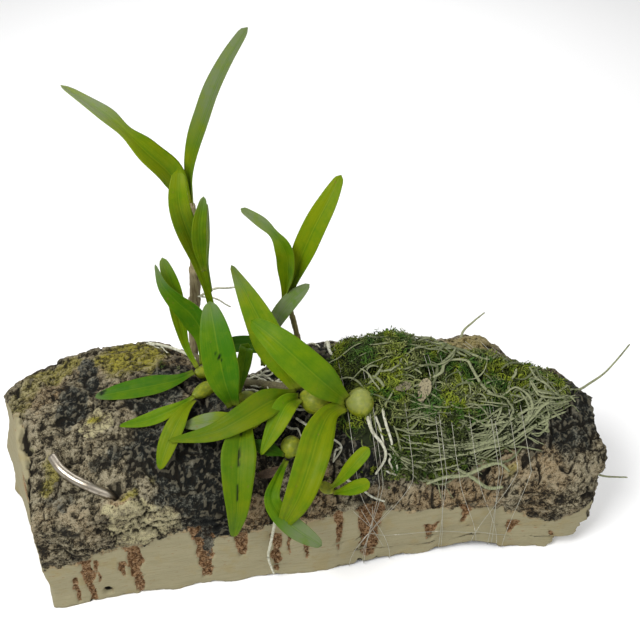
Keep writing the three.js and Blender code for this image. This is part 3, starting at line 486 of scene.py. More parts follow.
def rightEnd(v, w):
    ragged = w + 0.03 * softNoise(v * 14, w * 3, 5)
    layer = np.where(ragged < 0.25, 85.5, np.where(ragged < 0.45, 93.5, 97))
    # the front corner is broken away a little more
    corner = np.clip(v - 0.6, 0, 1) ** 1.3 * 40 + np.clip(0.12 - v, 0, 1) * 28
    return layer - corner + 1.5 * softNoise(v * 6, w * 5, 33)


def distanceToLine(x, y, line):
    best = np.full(x.shape, 1e3)
    for (ax, ay), (bx, by) in zip(line, line[1:]):
        reach = (x - ax) * (bx - ax) + (y - ay) * (by - ay)
        share = np.clip(reach / ((bx - ax) ** 2 + (by - ay) ** 2), 0, 1)
        best = np.minimum(best, np.hypot(x - ax - share * (bx - ax), y - ay - share * (by - ay)))
    return best


def placeStrength(kind, x, y):
    wx = x + 3.0 * layeredNoise(x / 6, y / 6, 11 + len(kind))
    wy = y + 3.0 * layeredNoise(x / 6, y / 6, 23 + len(kind))
    total = np.zeros(x.shape)
    for px, py, rx, ry, strength in barkPlaces[kind]:
        reach = np.hypot((wx - px) / rx, (wy - py) / ry)
        total = np.maximum(total, strength * ease((1.15 - reach) / 0.5))
    return total


def crackStrength(x, y):
    # how open the cracks are here, and how deep
    wx = x + 2.2 * layeredNoise(x / 3.4, y / 3.4, 41)
    wy = y + 2.2 * layeredNoise(x / 3.4, y / 3.4, 47)
    broken = ease(0.75 + 1.5 * softNoise(x / 2.6, y / 2.6, 43))
    total = np.zeros(x.shape)
    for line, width, depth in slabDetail["cracks"]:
        total = np.maximum(total, broken * depth * ease(1.2 - distanceToLine(wx, wy, line) / (width * 0.8)))
    return total


def barkRelief(x, y):
    # height of the rough bark over barkTop, and how much of it is crack
    d = slabDetail
    wx = x + 3.2 * layeredNoise(x / 7, y / 7, 3.1)
    wy = y + 2.8 * layeredNoise(x / 6, y / 6, 8.2)
    smoothShare = np.maximum(placeStrength("pale", x, y), 0.6 * placeStrength("lichen", x, y))
    rough = 1 - 0.5 * smoothShare
    gap, value = plates(wx / d["plate"][0], wy / d["plate"][1], 1)
    seam = ease(1 - gap / 0.13) * ease(0.4 + 1.6 * softNoise(x / 7, y / 7, 61))
    height = (value - 0.5) * d["plateStep"] - seam * d["crackDepth"]
    gap, value = plates(wx / d["flake"][0], wy / d["flake"][1], 3)
    flakeSeam = ease(1 - gap / 0.14) * ease(0.4 + 1.6 * softNoise(x / 5, y / 5, 63))
    height = height + ((value - 0.5) * d["flakeStep"] - flakeSeam * d["flakeGap"]) * rough
    gap, value = plates(wx / d["crumb"][0], wy / d["crumb"][1], 2)
    crumbSeam = ease(1 - gap / 0.26)
    height = height + ((value - 0.5) - crumbSeam * 0.4) * d["crumbStep"] * rough
    size = d["grainSize"]
    height = height + d["grainHeight"] * layeredNoise(x / size, y / size, 71) * rough
    opened = crackStrength(x, y)
    hx, hy = d["wireHole"]
    away = np.hypot((x - hx) * 0.9, y - hy) * (1 + 0.5 * softNoise(x / 0.9, y / 0.9, 9))
    hole = ease(1.5 - away / d["wireHoleRadius"])
    height = height - opened - hole * d["wireHoleDepth"]
    return height, np.clip(seam + flakeSeam * 0.65 + opened * 0.6 + hole * 1.5, 0, 1)


def streakStrength(x, z):
    wander = x + 0.7 * layeredNoise(x / 2.6, z / 3, 81)
    total = np.zeros(x.shape)
    for cx, half, top, bottom in slabDetail["streaks"]:
        share = np.clip((z - bottom) / (top - bottom), 0, 1)
        width = half * (0.45 + 0.65 * share) * (1 + 0.3 * softNoise(z / 3.4, cx, 5))
        inside = ease((width - np.abs(wander - cx)) / 0.7 + 0.3)
        inside = inside * ease((z - bottom) / 2 + 0.4) * ease((top - z) / 3 + 0.5)
        total = np.maximum(total, inside)
    return total


def pitStrength(x, z):
    total = np.zeros(x.shape)
    for px, pz, radius in slabDetail["pits"]:
        total = np.maximum(total, ease(1.6 - np.hypot((x - px) * 1.2, z - pz) / radius))
    return total


def boxGrid(columns, rows, levels):
    # points and quads on the six sides of a box, shared along its edges, as whole-number places
    index, points, faces = {}, [], []

    def corner(*place):
        if place not in index:
            index[place] = len(points)
            points.append(place)
        return index[place]

    def side(countA, countB, place, flip):
        for a in range(countA):
            for b in range(countB):
                quad = [corner(*place(a, b)), corner(*place(a + 1, b)), corner(*place(a + 1, b + 1)),
                        corner(*place(a, b + 1))]
                faces.append(tuple(reversed(quad)) if flip else tuple(quad))

    side(columns, rows, lambda a, b: (a, b, levels), False)
    side(columns, levels, lambda a, b: (a, 0, b), False)
    side(columns, levels, lambda a, b: (a, rows, b), True)
    side(rows, levels, lambda a, b: (0, a, b), True)
    side(rows, levels, lambda a, b: (columns, a, b), False)
    base = [corner(a, 0, 0) for a in range(columns)] + [corner(columns, b, 0) for b in range(rows)]
    base += [corner(a, rows, 0) for a in range(columns, 0, -1)]
    base += [corner(0, b, 0) for b in range(rows, 0, -1)]
    faces.append(tuple(reversed(base)))
    return np.array(points, float), faces


def soften(points, faces, where, rounds):
    # moves the chosen points towards the mean of their neighbours
    first = np.array([v for f in faces if len(f) == 4 for v in f])
    second = np.array([v for f in faces if len(f) == 4 for v in (f[1], f[2], f[3], f[0])])
    count = np.bincount(first, minlength=len(points)) + np.bincount(second, minlength=len(points))
    for _ in range(rounds):
        total = np.zeros_like(points)
        np.add.at(total, first, points[second])
        np.add.at(total, second, points[first])
        mean = total / np.maximum(count, 1)[:, None]
        points = points + (mean - points) * where[:, None]
    return points


def chippedEdge(x):
    places, heights = np.array(slabShape["chipped"], float).T
    return np.interp(x, places, heights) + 0.9 * np.maximum(layeredNoise(x / 2.4, 3.3, 57), 0)


def slabSurface():
    counts = [slabDetail["columns"], slabDetail["rows"], slabDetail["levels"]]
    grid, faces = boxGrid(*counts)
    u, v, w = (grid / counts).T
    v = v ** 1.08
    # height first, so that the ends and sides can use it as the solids do
    x = leftEnd(v, w) + (rightEnd(v, w) - leftEnd(v, w)) * u
    roughTop = barkTop(x, slabLine("front", x) * (1 - v) + slabLine("back", x) * v)
    z = roughTop * w
    level = (z + 2) / (roughTop + 2)
    x = leftEnd(v, level) + (rightEnd(v, level) - leftEnd(v, level)) * u
    front = slabLine("front", x) + 0.7 * softNoise(x / 9, 4.5, level * 5)
    back = slabLine("back", x) + 0.9 * softNoise(x / 8, 9.5, level * 4)
    y = front + (back - front) * v
    points = np.stack([x, y, barkTop(x, y) * w], 1)
    i, j, k = grid.T
    onTop, onFront, onBack = k == counts[2], j == 0, j == counts[1]
    onLeft, onRight, onBase = i == 0, i == counts[0], k == 0
    edge = np.zeros(len(points))
    for a, b in ((onTop, onFront), (onTop, onBack), (onTop, onLeft), (onTop, onRight), (onFront, onLeft),
                 (onFront, onRight), (onBack, onLeft), (onBack, onRight)):
        edge = np.maximum(edge, a & b)
    points = soften(points, faces, np.clip(edge + 0.35 * onTop, 0, 0.8), 2)
    x, y, z = points.T
    rim = slabLine("margin", x) - 1.3 * layeredNoise(x / 3.5, 2.5, 91) - 1.2 * softNoise(x / 1.4, z / 2, 94)
    barkShare = np.where(onFront, ease((z - rim) / 4.6 + 0.5), 1.0)
    streak = streakStrength(x, z) * onFront
    pit = pitStrength(x, z) * onFront
    relief, crack = barkRelief(x, y)
    flat = 1 - 0.6 * placeStrength("pale", x, y)
    relief, crack = relief * flat, crack * flat
    sideRelief, sideCrack = barkRelief(x, z * 1.3 + 40)
    crumbs = layeredNoise(x / 1.1, z / 1.1, 101)
    lines = 0.03 * np.sin(z * 5.4 + 3 * softNoise(x / 34, z / 9, 8)) + 0.07 * layeredNoise(x / 5, z / 1.6, 17)
    inwards = lines + (sideRelief * 0.8 + 0.5) * barkShare - streak * (0.8 + 0.9 * crumbs) - pit * 2.6
    splitAt = softLine(slabDetail["endSplit"], y) + 0.7 * layeredNoise(y / 1.8, 6.1, 33)
    strip = ease((splitAt - x) / 0.7 + 0.5) * ease((9 - y) / 3)
    plugY, plugDepth, plugWidth, plugHeight = slabDetail["plug"]
    tornWidth = 0.7 + 0.7 * ease(1 - np.abs(y - plugY) / 8)
    torn = ease(1.5 - np.abs(x - splitAt) / tornWidth) * ease((7 - y) / 2)
    torn = torn * ease(0.85 + 1.3 * softNoise(y / 2.6, 1.3, 31))
    raised = relief * (1 - 0.55 * (onFront | onBack)) * (1 - 0.9 * strip) - 2.3 * torn
    points[:, 2] += np.where(onTop, raised, 0)
    points[:, 1] -= np.where(onFront & ~onTop, inwards, 0) - np.where(onBack, 0.7 * sideRelief, 0)
    # left end: bark along its top edge at the back, and a plug of brown cork
    below = barkTop(x, y) - z
    skin = 2.6 * ease((y - 2) / 9) + 0.9 * layeredNoise(y / 3, 2.2, 29)
    away = np.hypot((y - plugY) / plugWidth, (below - plugDepth) / plugHeight)
    plug = ease(1.9 - 1.4 * away + 0.35 * layeredNoise(y / 2, z / 2, 35))
    sawn = 0.14 * layeredNoise(y / 3, z / 1.5, 27) - 0.8 * plug
    endRelief = barkRelief(y * 1.1 + 60, z * 1.2)[0]
    endBark = ease((skin - below) / 1.4 + 0.5)
    layers = 1.1 * softNoise(y / 9, z / 2.6, 44) + 0.6 * softNoise(y / 4, z / 1.2, 45)
    points[:, 0] += np.where(onLeft, -sawn - 0.4 * endRelief * endBark, 0)
    points[:, 0] += np.where(onRight, 0.8 * endRelief + layers, 0)
    chips = ease((0.35 - np.abs(softNoise(x / 5, y / 5, 3))) / 0.3) * 0.8 + 0.4 * softNoise(x / 2, y / 2, 6)
    outer = onFront | onBack | onLeft | onRight
    points[:, 2] += np.where(onBase & outer, np.maximum(chips, 0) * 0.9, 0)
    for low, high in slabShape["recesses"]:
        inside = ease((x - low) / 1.2 + 0.5) * ease((high - x) / 1.2 + 0.5)
        hollow = np.maximum(points[:, 2], inside * slabShape["recessDepth"])
        points[:, 2] = np.where(onBase, hollow, points[:, 2])
    rise = chippedEdge(x) * ease(1 - (y - front) / 7)
    points[:, 2] = np.where(z < 30, rise + points[:, 2] * (1 - rise / 30), points[:, 2])
    points[:, 2] = np.maximum(points[:, 2], 0)
    cut = np.where(onFront & ~onTop, 1 - barkShare, 0.0)
    cut = np.where(onLeft & ~onTop, 1 - endBark, cut)
    cut = np.where(onTop & ~onFront, strip, cut)
    cut = np.where(onRight & ~onTop & ~onFront, ease((0.42 - w) / 0.08), cut)
    cut = np.where(onBase, 1, cut)
    sideOnly = (onFront | onBack | onRight) & ~onTop
    crack = np.where(sideOnly, sideCrack * barkShare, crack)
    topCrack = np.where(onTop, np.maximum(crack * (1 - strip), torn), crack)
    crack = np.where(onLeft & ~onTop, 0.5 * crack * endBark, topCrack)
    crack = np.maximum(crack, pit * 1.6)
    runX, runLowest = slabDetail["run"]
    wide = 2.2 + 3.2 * ease((z - 22) / 14)
    run = ease(1.2 - np.abs(x - runX + 1.6 * layeredNoise(z / 4, 1, 2)) / wide) * ease((z - runLowest) / 14)
    run = np.where(onFront & ~onTop, run, 0)
    # how far each point stands out from the surface round it; the bark is painted darker in hollows and lighter
    # on raised points by it
    flattened = soften(points, faces, np.ones(len(points)), 3)
    facing = np.where(onTop, 2, np.where(onFront | onBack, 1, 0))
    outwards = np.where(onTop, 1, np.where(onFront | onLeft, -1, 1))
    proud = (points - flattened)[np.arange(len(points)), facing] * outwards
    marks = {
        "cut": cut, "streak": np.maximum(streak, np.where(onLeft & ~onTop, plug, 0)), "crack": crack,
        "stain": placeStrength("stain", x, y) * (1 - 0.9 * (cut > 0.5)), "run": run,
        "light": placeStrength("light", x, y),
        "lichen": placeStrength("lichen", x, y) * (1 - cut), "pale": placeStrength("pale", x, y) * (1 - cut),
        "warm": placeStrength("warm", x, y) * (1 - cut), "proud": proud,
    }
    return points, faces, marks


barkColours = {
    "dark": (0.012, 0.01, 0.0065), "brown": (0.06, 0.048, 0.028), "tan": (0.175, 0.148, 0.09),
    "fleck": (0.31, 0.275, 0.185), "warmDeep": (0.06, 0.036, 0.016), "warm": (0.2, 0.135, 0.065),
    "warmPale": (0.32, 0.24, 0.135), "blueBlack": (0.004, 0.005, 0.0045), "stainGrey": (0.028, 0.03, 0.025),
    "stainPale": (0.085, 0.085, 0.066), "stainFleck": (0.17, 0.165, 0.13),
    "lichenDark": (0.04, 0.034, 0.01), "lichenDeep": (0.15, 0.13, 0.02), "lichen": (0.28, 0.25, 0.035),
    "pale": (0.31, 0.275, 0.15), "palest": (0.42, 0.38, 0.22),
    "cut": (0.262, 0.235, 0.142), "cutDeep": (0.222, 0.198, 0.115), "cutWarm": (0.25, 0.2, 0.09),
    "streakDark": (0.012, 0.006, 0.003), "streakDeep": (0.075, 0.036, 0.014), "streak": (0.21, 0.12, 0.056),
    "streakPale": (0.34, 0.25, 0.15),
}


def barkFinish():
    c = barkColours
    material, where = newFinish("corkBark", 0.93, {"Specular IOR Level": 0.16})
    broad = grain(where, 8, 4, 0.6)
    middle = grain(where, 2.8, 6, 0.68)
    crust = grain(where, 0.95, 5, 0.75)
    fine = grain(where, 0.42, 4, 0.75)
    # pale crumbs between dark pits; light and stained places have more and fewer of them
    level = plus(aroundHalf(middle, 1.3), aroundHalf(crust, 1.0))
    for part in (aroundHalf(broad, 0.7), aroundHalf(fine, 0.75), times(mark(where, "light"), 0.1),
                 times(mark(where, "stain"), -0.125), 0.482):
        level = plus(level, part)
    ground = colourRamp(level, [(0.36, c["dark"]), (0.46, c["brown"]), (0.55, c["tan"]), (0.68, c["fleck"])])
    warm = colourRamp(level, [(0.34, c["dark"]), (0.44, c["warmDeep"]), (0.54, c["warm"]),
                              (0.68, c["warmPale"])])
    warmShare = plus(mark(where, "warm"), aroundHalf(broad, 1.4), True)
    paleGround = colourRamp(level, [(0.28, c["brown"]), (0.4, c["tan"]), (0.5, c["pale"]), (0.68, c["palest"])])
    paleShare = plus(mark(where, "pale"), aroundHalf(middle, 0.9))
    velvet = colourRamp(level, [(0.3, c["lichenDark"]), (0.42, c["lichenDeep"]), (0.56, c["lichen"])])
    lichenShare = times(mark(where, "lichen"), spread(middle, 0.22, 0.44))
    soot = colourRamp(level, [(0.36, c["blueBlack"]), (0.48, c["stainGrey"]), (0.58, c["stainPale"]),
                              (0.7, c["stainFleck"])])
    stainShare = plus(mark(where, "stain"), aroundHalf(middle, 1.4))
    # wandering hair cracks
    wander = calc("ABSOLUTE", calc("SUBTRACT", grain(where, 3.6, 4, 0.62, 0.4), 0.5))
    hair = times(spread(wander, 0.012, 0.003), spread(broad, 0.46, 0.54))
    proud, crack = mark(where, "proud"), mark(where, "crack")
    # the last layer here paints the hollows dark: painted shade
    ground = layered(ground, [
        (warmShare, warm), (spread(paleShare, 0.42, 0.56), paleGround), (lichenShare, velvet),
        (spread(stainShare, 0.25, 0.75), soot), (times(hair, 0.85), c["dark"]),
        (times(spread(fine, 0.44, 0.36), 0.8), c["dark"]), (times(spread(proud, -0.04, -0.4), 0.8), c["dark"])])
    # raised points are painted lighter: painted highlight
    ridgeHighlight = blendColour(0.4, ground, c["fleck"])
    # cracks, plate seams, pits and the wire hole are painted dark: partly the bark's own dark fissures, partly
    # painted shade in them
    ground = layered(ground, [(times(spread(proud, 0.08, 0.36), 0.7), ridgeHighlight), (times(crack, 0.8), c["dark"])])
    # sawn face, with a ragged brown border under the bark
    sawLines = grain(where, 0.7, 5, 0.65, 0.3, (0.09, 0.09, 1.3))
    tick = grain(where, 1.0, 3, 0.6, 0, (0.4, 0.4, 1.5))
    cut = mark(where, "cut")
    border = times(spread(cut, 0.98, 0.7), spread(middle, 0.44, 0.58))
    face = layered(c["cutDeep"], [
        (spread(sawLines, 0.3, 0.56), c["cut"]), (times(spread(broad, 0.5, 0.66), 0.5), c["cutWarm"]),
        (times(spread(tick, 0.62, 0.7), 0.6), c["streak"]), (times(spread(fine, 0.37, 0.29), 0.4),
                                                             c["streakDeep"]),
        (times(border, 0.75), warm)])
    cutShare = plus(cut, plus(aroundHalf(crust, 1.5), aroundHalf(middle, 1.5)))
    crumbly = grain(where, 1.0, 6, 0.75, 0, (1, 1, 1.5))
    crumb = colourRamp(crumbly, [(0.36, c["streakDark"]), (0.45, c["streakDeep"]), (0.53, c["streak"]),
                                 (0.66, c["streakPale"])])
    streakShare = plus(mark(where, "streak"), aroundHalf(crumbly, 2.2))
    runShare = plus(mark(where, "run"), aroundHalf(crust, 2.0))
    # the crack layer paints cracks, pits and the wire hole dark over the sawn face too: partly dark fissures,
    # partly painted shade
    ground = layered(ground, [
        (spread(cutShare, 0.42, 0.56), face), (spread(streakShare, 0.38, 0.52), crumb),
        (times(spread(runShare, 0.4, 0.62), 0.92), soot), (spread(crack, 0.75, 1.0), c["dark"])])
    rough = plus(times(middle, 0.4), times(crust, 0.45))
    smoother = calc("SUBTRACT", 1.0, times(spread(cutShare, 0.42, 0.56), 0.86))
    return paint(material, ground, times(rough, smoother), 1.9)


points, faces, marks = slabSurface()
slab = makePiece("corkSlab", points, faces, barkFinish(), marks)
finishPiece(slab, "bark", "cork_slab")
print("cork slab:", len(points), "points")


# Geometry Nodes: a section swept along loose lines, shared by roots, canes, wire, line and strands

def newTree(name, inputs):
    tree = bpy.data.node_groups.new(name, "GeometryNodeTree")
    tree.interface.new_socket(name="Geometry", in_out="INPUT", socket_type="NodeSocketGeometry")
    for label, kind in inputs:
        tree.interface.new_socket(name=label, in_out="INPUT", socket_type="NodeSocket" + kind)
    tree.interface.new_socket(name="Geometry", in_out="OUTPUT", socket_type="NodeSocketGeometry")
    return tree, tree.nodes.new("NodeGroupInput").outputs


def step(tree, kind, inputs=None, **settings):
    # a node, of which only the first output is needed
    return addNode(tree, kind, inputs, **settings).outputs[0]


def closeTree(tree, geometry, material):
    smooth = step(tree, "GeometryNodeSetShadeSmooth", {"Geometry": geometry})
    real = step(tree, "GeometryNodeRealizeInstances", {"Geometry": smooth})
    painted = step(tree, "GeometryNodeSetMaterial", {"Geometry": real, "Material": material})
    addNode(tree, "NodeGroupOutput", {"Geometry": painted})


def growPiece(piece, tree, values):
    # runs the tree on the piece and keeps the result as a plain mesh
    modifier = piece.modifiers.new(tree.name, "NODES")
    modifier.node_group = tree
    for item in tree.interface.items_tree:
        if item.in_out == "INPUT" and item.name in values:
            modifier[item.identifier] = values[item.name]
    depsgraph = bpy.context.evaluated_depsgraph_get()
    grown = bpy.data.meshes.new_from_object(piece.evaluated_get(depsgraph), preserve_all_data_layers=True,
                                            depsgraph=depsgraph)
    piece.modifiers.clear()
    piece.data = grown
    grown.name = piece.name
    return piece


def readNumber(tree, name):
    return step(tree, "GeometryNodeInputNamedAttribute", {"Name": name}, data_type="FLOAT")


def makeSweepTree():
    tree, given = newTree("sweepAlongLines", [("Sides", "Int"), ("Flatness", "Float"), ("Lump Height", "Float"),
                                              ("Lump Size", "Float"), ("Finish", "Material")])
    line = step(tree, "GeometryNodeMeshToCurve", {"Mesh": given["Geometry"]})
    line = step(tree, "GeometryNodeSetCurveNormal", {"Curve": line}, mode="Z_UP")
    circle = step(tree, "GeometryNodeCurvePrimitiveCircle", {"Resolution": given["Sides"], "Radius": 1.0})
    flat = step(tree, "ShaderNodeCombineXYZ", {0: 1.0, 1: given["Flatness"], 2: 1.0})
    section = step(tree, "GeometryNodeTransform", {"Geometry": circle, "Scale": flat})
    thickness = readNumber(tree, "thickness")
    values = {"Curve": line, "Profile Curve": section, "Fill Caps": True, "Scale": thickness}
    shell = step(tree, "GeometryNodeCurveToMesh", values)
    where = step(tree, "GeometryNodeInputPosition")
    grown = step(tree, "ShaderNodeVectorMath", {0: where, "Scale": 1000.0}, operation="SCALE")
    each = calc("DIVIDE", 1.0, given["Lump Size"])
    lumps = addNode(tree, "ShaderNodeTexNoise", {"Vector": grown, "Scale": each, "Detail": 2.0}).outputs["Fac"]
    centred = calc("SUBTRACT", lumps, 0.5)
    high = times(centred, given["Lump Height"])
    normal = step(tree, "GeometryNodeInputNormal")
    push = step(tree, "ShaderNodeVectorMath", {0: normal, "Scale": high}, operation="SCALE")
    shell = step(tree, "GeometryNodeSetPosition", {"Geometry": shell, "Offset": push})
    closeTree(tree, shell, given["Finish"])
    return tree


sweepTree = makeSweepTree()


def linePiece(name, paths):
    # loose lines with a radius, a tint and a length at each point, ready to be swept
    points, edges, radius, tint, run = [], [], [], [], []
    for path in paths:
        base = len(radius)
        count = len(path["points"])
        points.append(np.asarray(path["points"]) * mm)
        edges += [(base + i, base + i + 1) for i in range(count - 1)]
        if path.get("closed"):
            edges.append((base + count - 1, base))
        radius += list(np.asarray(path["radius"]) * mm * np.ones(count))
        tint += [path.get("tint", 0.5)] * count
        run += list(np.linspace(0, path.get("length", count), count))
    mesh = bpy.data.meshes.new(name)
    mesh.from_pydata(np.vstack(points).tolist(), edges, [])
    for key, values in (("thickness", radius), ("tint", tint), ("run", run)):
        mesh.attributes.new(key, "FLOAT", "POINT").data.foreach_set("value", np.asarray(values, np.float32))
    piece = bpy.data.objects.new(name, mesh)
    bpy.context.scene.collection.objects.link(piece)
    return piece


def roundedRadius(radii, count, length):
    # radius at evenly spaced points, closing to a rounded end at both ends
    radius = np.interp(np.linspace(0, 1, count), np.linspace(0, 1, len(radii)), radii)
    run = np.linspace(0, length, count)
    toEnd = np.minimum(run, length - run) / radius
    return radius * np.sqrt(np.clip(toEnd * (2 - toEnd), 0.01, 1) * (toEnd < 1) + (toEnd >= 1))


def smoothLine(points, radii, count, tint=0.5):
    path, _, length = smoothPath(points, count)
    return {"points": path, "radius": roundedRadius(radii, count, length), "tint": tint, "length": length}


def sweepPiece(name, paths, finish, sides, flatness=1.0, lumpHeight=0.0, lumpSize=1.0):
    piece = linePiece(name, paths)
    return growPiece(piece, sweepTree, {"Sides": sides, "Flatness": flatness, "Lump Height": lumpHeight * mm,
                                        "Lump Size": lumpSize, "Finish": finish})


# hook wire: a tail over the bark and a leg down its hole

hookWire = {
    "tail": [(-76.4, -14.2, 55.6), (-73.6, -18.8, 54.6), (-69.8, -22, 53.2), (-66, -24, 51.9)],
    "leg": [(-63.6, -24.7, 50.4), (-61.4, -24.9, 48.6), (-59.8, -25, 46), (-58.8, -25, 42.4),
            (-58.4, -25, 39.2)],
    "radius": 1.45, "colour": (0.36, 0.32, 0.26), "tarnish": (0.19, 0.155, 0.11),
}


def wireFinish():
    material, where = newFinish("drawnWire", 0.24, {"Metallic": 1.0})
    drawn = grain(where, 0.5, 3, 0.5)
    patches = spread(grain(where, 3.2, 4, 0.6), 0.5, 0.7)
    colour = blendColour(patches, hookWire["colour"], hookWire["tarnish"])
    roughness = plus(times(drawn, 0.2), times(patches, 0.15))
    return paint(material, colour, drawn, 0.03, plus(roughness, 0.24))


def makeHook():
    route = smoothLine(hookWire["tail"] + hookWire["leg"], [hookWire["radius"]] * 2, 90)
    # both ends are cut square with a small burred bevel
    route["radius"] = np.full(90, hookWire["radius"])
    route["radius"][[0, -1]] *= 0.8
    route["points"][1] = route["points"][0] * 0.85 + route["points"][1] * 0.15
    finishPiece(sweepPiece("hookWire", [route], wireFinish(), sides=28), "wire", "wire_hook")


makeHook()
print("hook wire done")


# pseudobulbs

# the 0.5 on the round bulb is how strongly its upper side is painted pale, a painted highlight
bulbs = {
    "bulb_round": {"foot": (23.6, -7.6, 56.8), "apex": (14.6, -8.4, 58.2), "radius": 4.8, "bloom": 0.5},
    "bulb_oval": {"foot": (9.4, -7.2, 56.6), "apex": (0.6, -4.4, 60.4), "radius": 4.5},
    "bulb_front": {"foot": (-2.6, -14.6, 52.6), "apex": (-5.9, -20.6, 49.8), "radius": 3.2},
    "bulb_left": {"foot": (-26.4, 11, 59.4), "apex": (-31.6, 7.4, 62.7), "radius": 2.1},
    "bulb_neck": {"foot": (-25.2, 4.4, 60.2), "apex": (-32.8, -2.6, 62.8), "radius": 2.4, "belly": 0.35},
    "bulb_middle": {"foot": (-12.4, -8.6, 56.4), "apex": (-17.8, -11.6, 58.6), "radius": 2.9},
    "bulb_behind": {"foot": (-13.6, -0.6, 58.4), "apex": (-19.6, -5.4, 59.8), "radius": 2.7},
    "sheath_new_growth": {"foot": (3.6, -26.2, 42.2), "apex": (7.4, -30.2, 42.4), "radius": 1.9},
}
bulbLook = {
    "sides": 48, "rings": 30, "furrows": 5, "furrowDepth": 0.05, "wrinkle": 0.012,
    "skin": (0.23, 0.25, 0.006), "deep": (0.13, 0.165, 0.005), "bloom": (0.21, 0.22, 0.09),
    "foot": (0.14, 0.1, 0.03),
}


def bulbFinish():
    material, where = newFinish("bulbSkin", 0.5, {
        "Specular IOR Level": 0.18, "Subsurface Weight": 0.12, "Subsurface Radius": (0.002, 0.0025, 0.0006),
        "Subsurface Scale": 0.6, "Coat Weight": 0.04, "Coat Roughness": 0.25})
    mottle = grain(where, 1.6, 4, 0.6)
    skin = blendColour(spread(mottle, 0.4, 0.64), bulbLook["deep"], bulbLook["skin"])
    # the side facing up and to the upper left, towards the key lamp, is painted pale: painted highlight
    paintedTopLight = times(spread(mark(where, "sky"), -0.1, 0.7), mark(where, "bloom"))
    skin = layered(skin, [(paintedTopLight, bulbLook["bloom"]), (times(mark(where, "furrow"), 0.35), bulbLook["deep"]),
                          (spread(mark(where, "along"), 0.16, 0.02), bulbLook["foot"])])
    return paint(material, skin, grain(where, 0.35, 3), 0.03)


def bulbSurface(foot, apex, radius, belly=0.45, bloom=0.12):
    sides, rings = bulbLook["sides"], bulbLook["rings"]
    foot, apex = np.array(foot), np.array(apex)
    axis = unit(apex - foot)
    side = unit(np.cross(axis, (0.2, 0.3, 1)))
    up = np.cross(axis, side)
    turn = np.linspace(0, math.pi, rings + 1)[1:-1]
    angle = np.linspace(0, 2 * math.pi, sides, endpoint=False)
    t = ((1 - np.cos(turn)) / 2)[:, None]
    around = np.sin(turn)[:, None]
    swell = np.where(t > belly, 1 - 0.25 * ((t - belly) / (1 - belly)) ** 2, 1)
    furrow = 0.5 + 0.5 * np.cos(angle * bulbLook["furrows"])[None]
    ripple = softNoise(np.cos(angle)[None] * 3 + foot[0], np.sin(angle)[None] * 3, t * 4)
    uneven = 1 - bulbLook["furrowDepth"] * furrow ** 3 + bulbLook["wrinkle"] * ripple
    reach = radius * around * swell * uneven
    middle = foot + axis * (t * np.linalg.norm(apex - foot))[..., None]
    ring = np.cos(angle)[None, :, None] * side + np.sin(angle)[None, :, None] * up
    pts = middle + reach[..., None] * ring
    count = len(turn)
    flat = pts.reshape(-1, 3)
    flat = np.vstack([flat, foot, apex])
    faces = tubeFaces(count, sides)
    first, last = count * sides, count * sides + 1
    for k in range(sides):
        k2 = (k + 1) % sides
        faces.append((first, k2, k))
        faces.append((last, (count - 1) * sides + k, (count - 1) * sides + k2))
    along = np.concatenate([np.repeat(t.ravel(), sides), [0, 1]])
    furrows = np.concatenate([np.tile((furrow ** 6).ravel(), count), [0, 0]])
    centre = (foot + apex) / 2
    # how much each point faces up and to the upper left, towards the key lamp, for the painted highlight
    sky = unit(flat - centre) @ unit(np.array((-0.25, -0.15, 1.0)))
    return flat, faces, {"along": along, "furrow": furrows, "sky": sky, "bloom": np.full(len(flat), bloom)}


bulbSkin = bulbFinish()
for name, spec in bulbs.items():
    pts, faces, marks = bulbSurface(**spec)
    finishPiece(makePiece(camel(name), pts, faces, bulbSkin, marks), "bulb", name)
print("pseudobulbs:", len(bulbs))


# leaves: spine from base to tip, full width, and the way the upper face looks

towards = (-0.11, -0.72, 0.68)
leafLook = {
    "stations": 46, "cells": 16, "middle": 0.62, "edge": 0.2, "grooveDepth": 0.24, "keelDepth": 0.28,
    "groove": 0.5, "wave": 0.35,
    "fresh": (0.085, 0.155, 0.0006), "yellow": (0.135, 0.18, 0.0006), "deep": (0.03, 0.105, 0.0012),
    "grey": (0.14, 0.17, 0.085), "rib": (0.15, 0.205, 0.01), "foot": (0.17, 0.18, 0.02),
    "spot": (0.004, 0.006, 0.003), "dark": (0.008, 0.024, 0.002), "scar": (0.16, 0.1, 0.03),
}
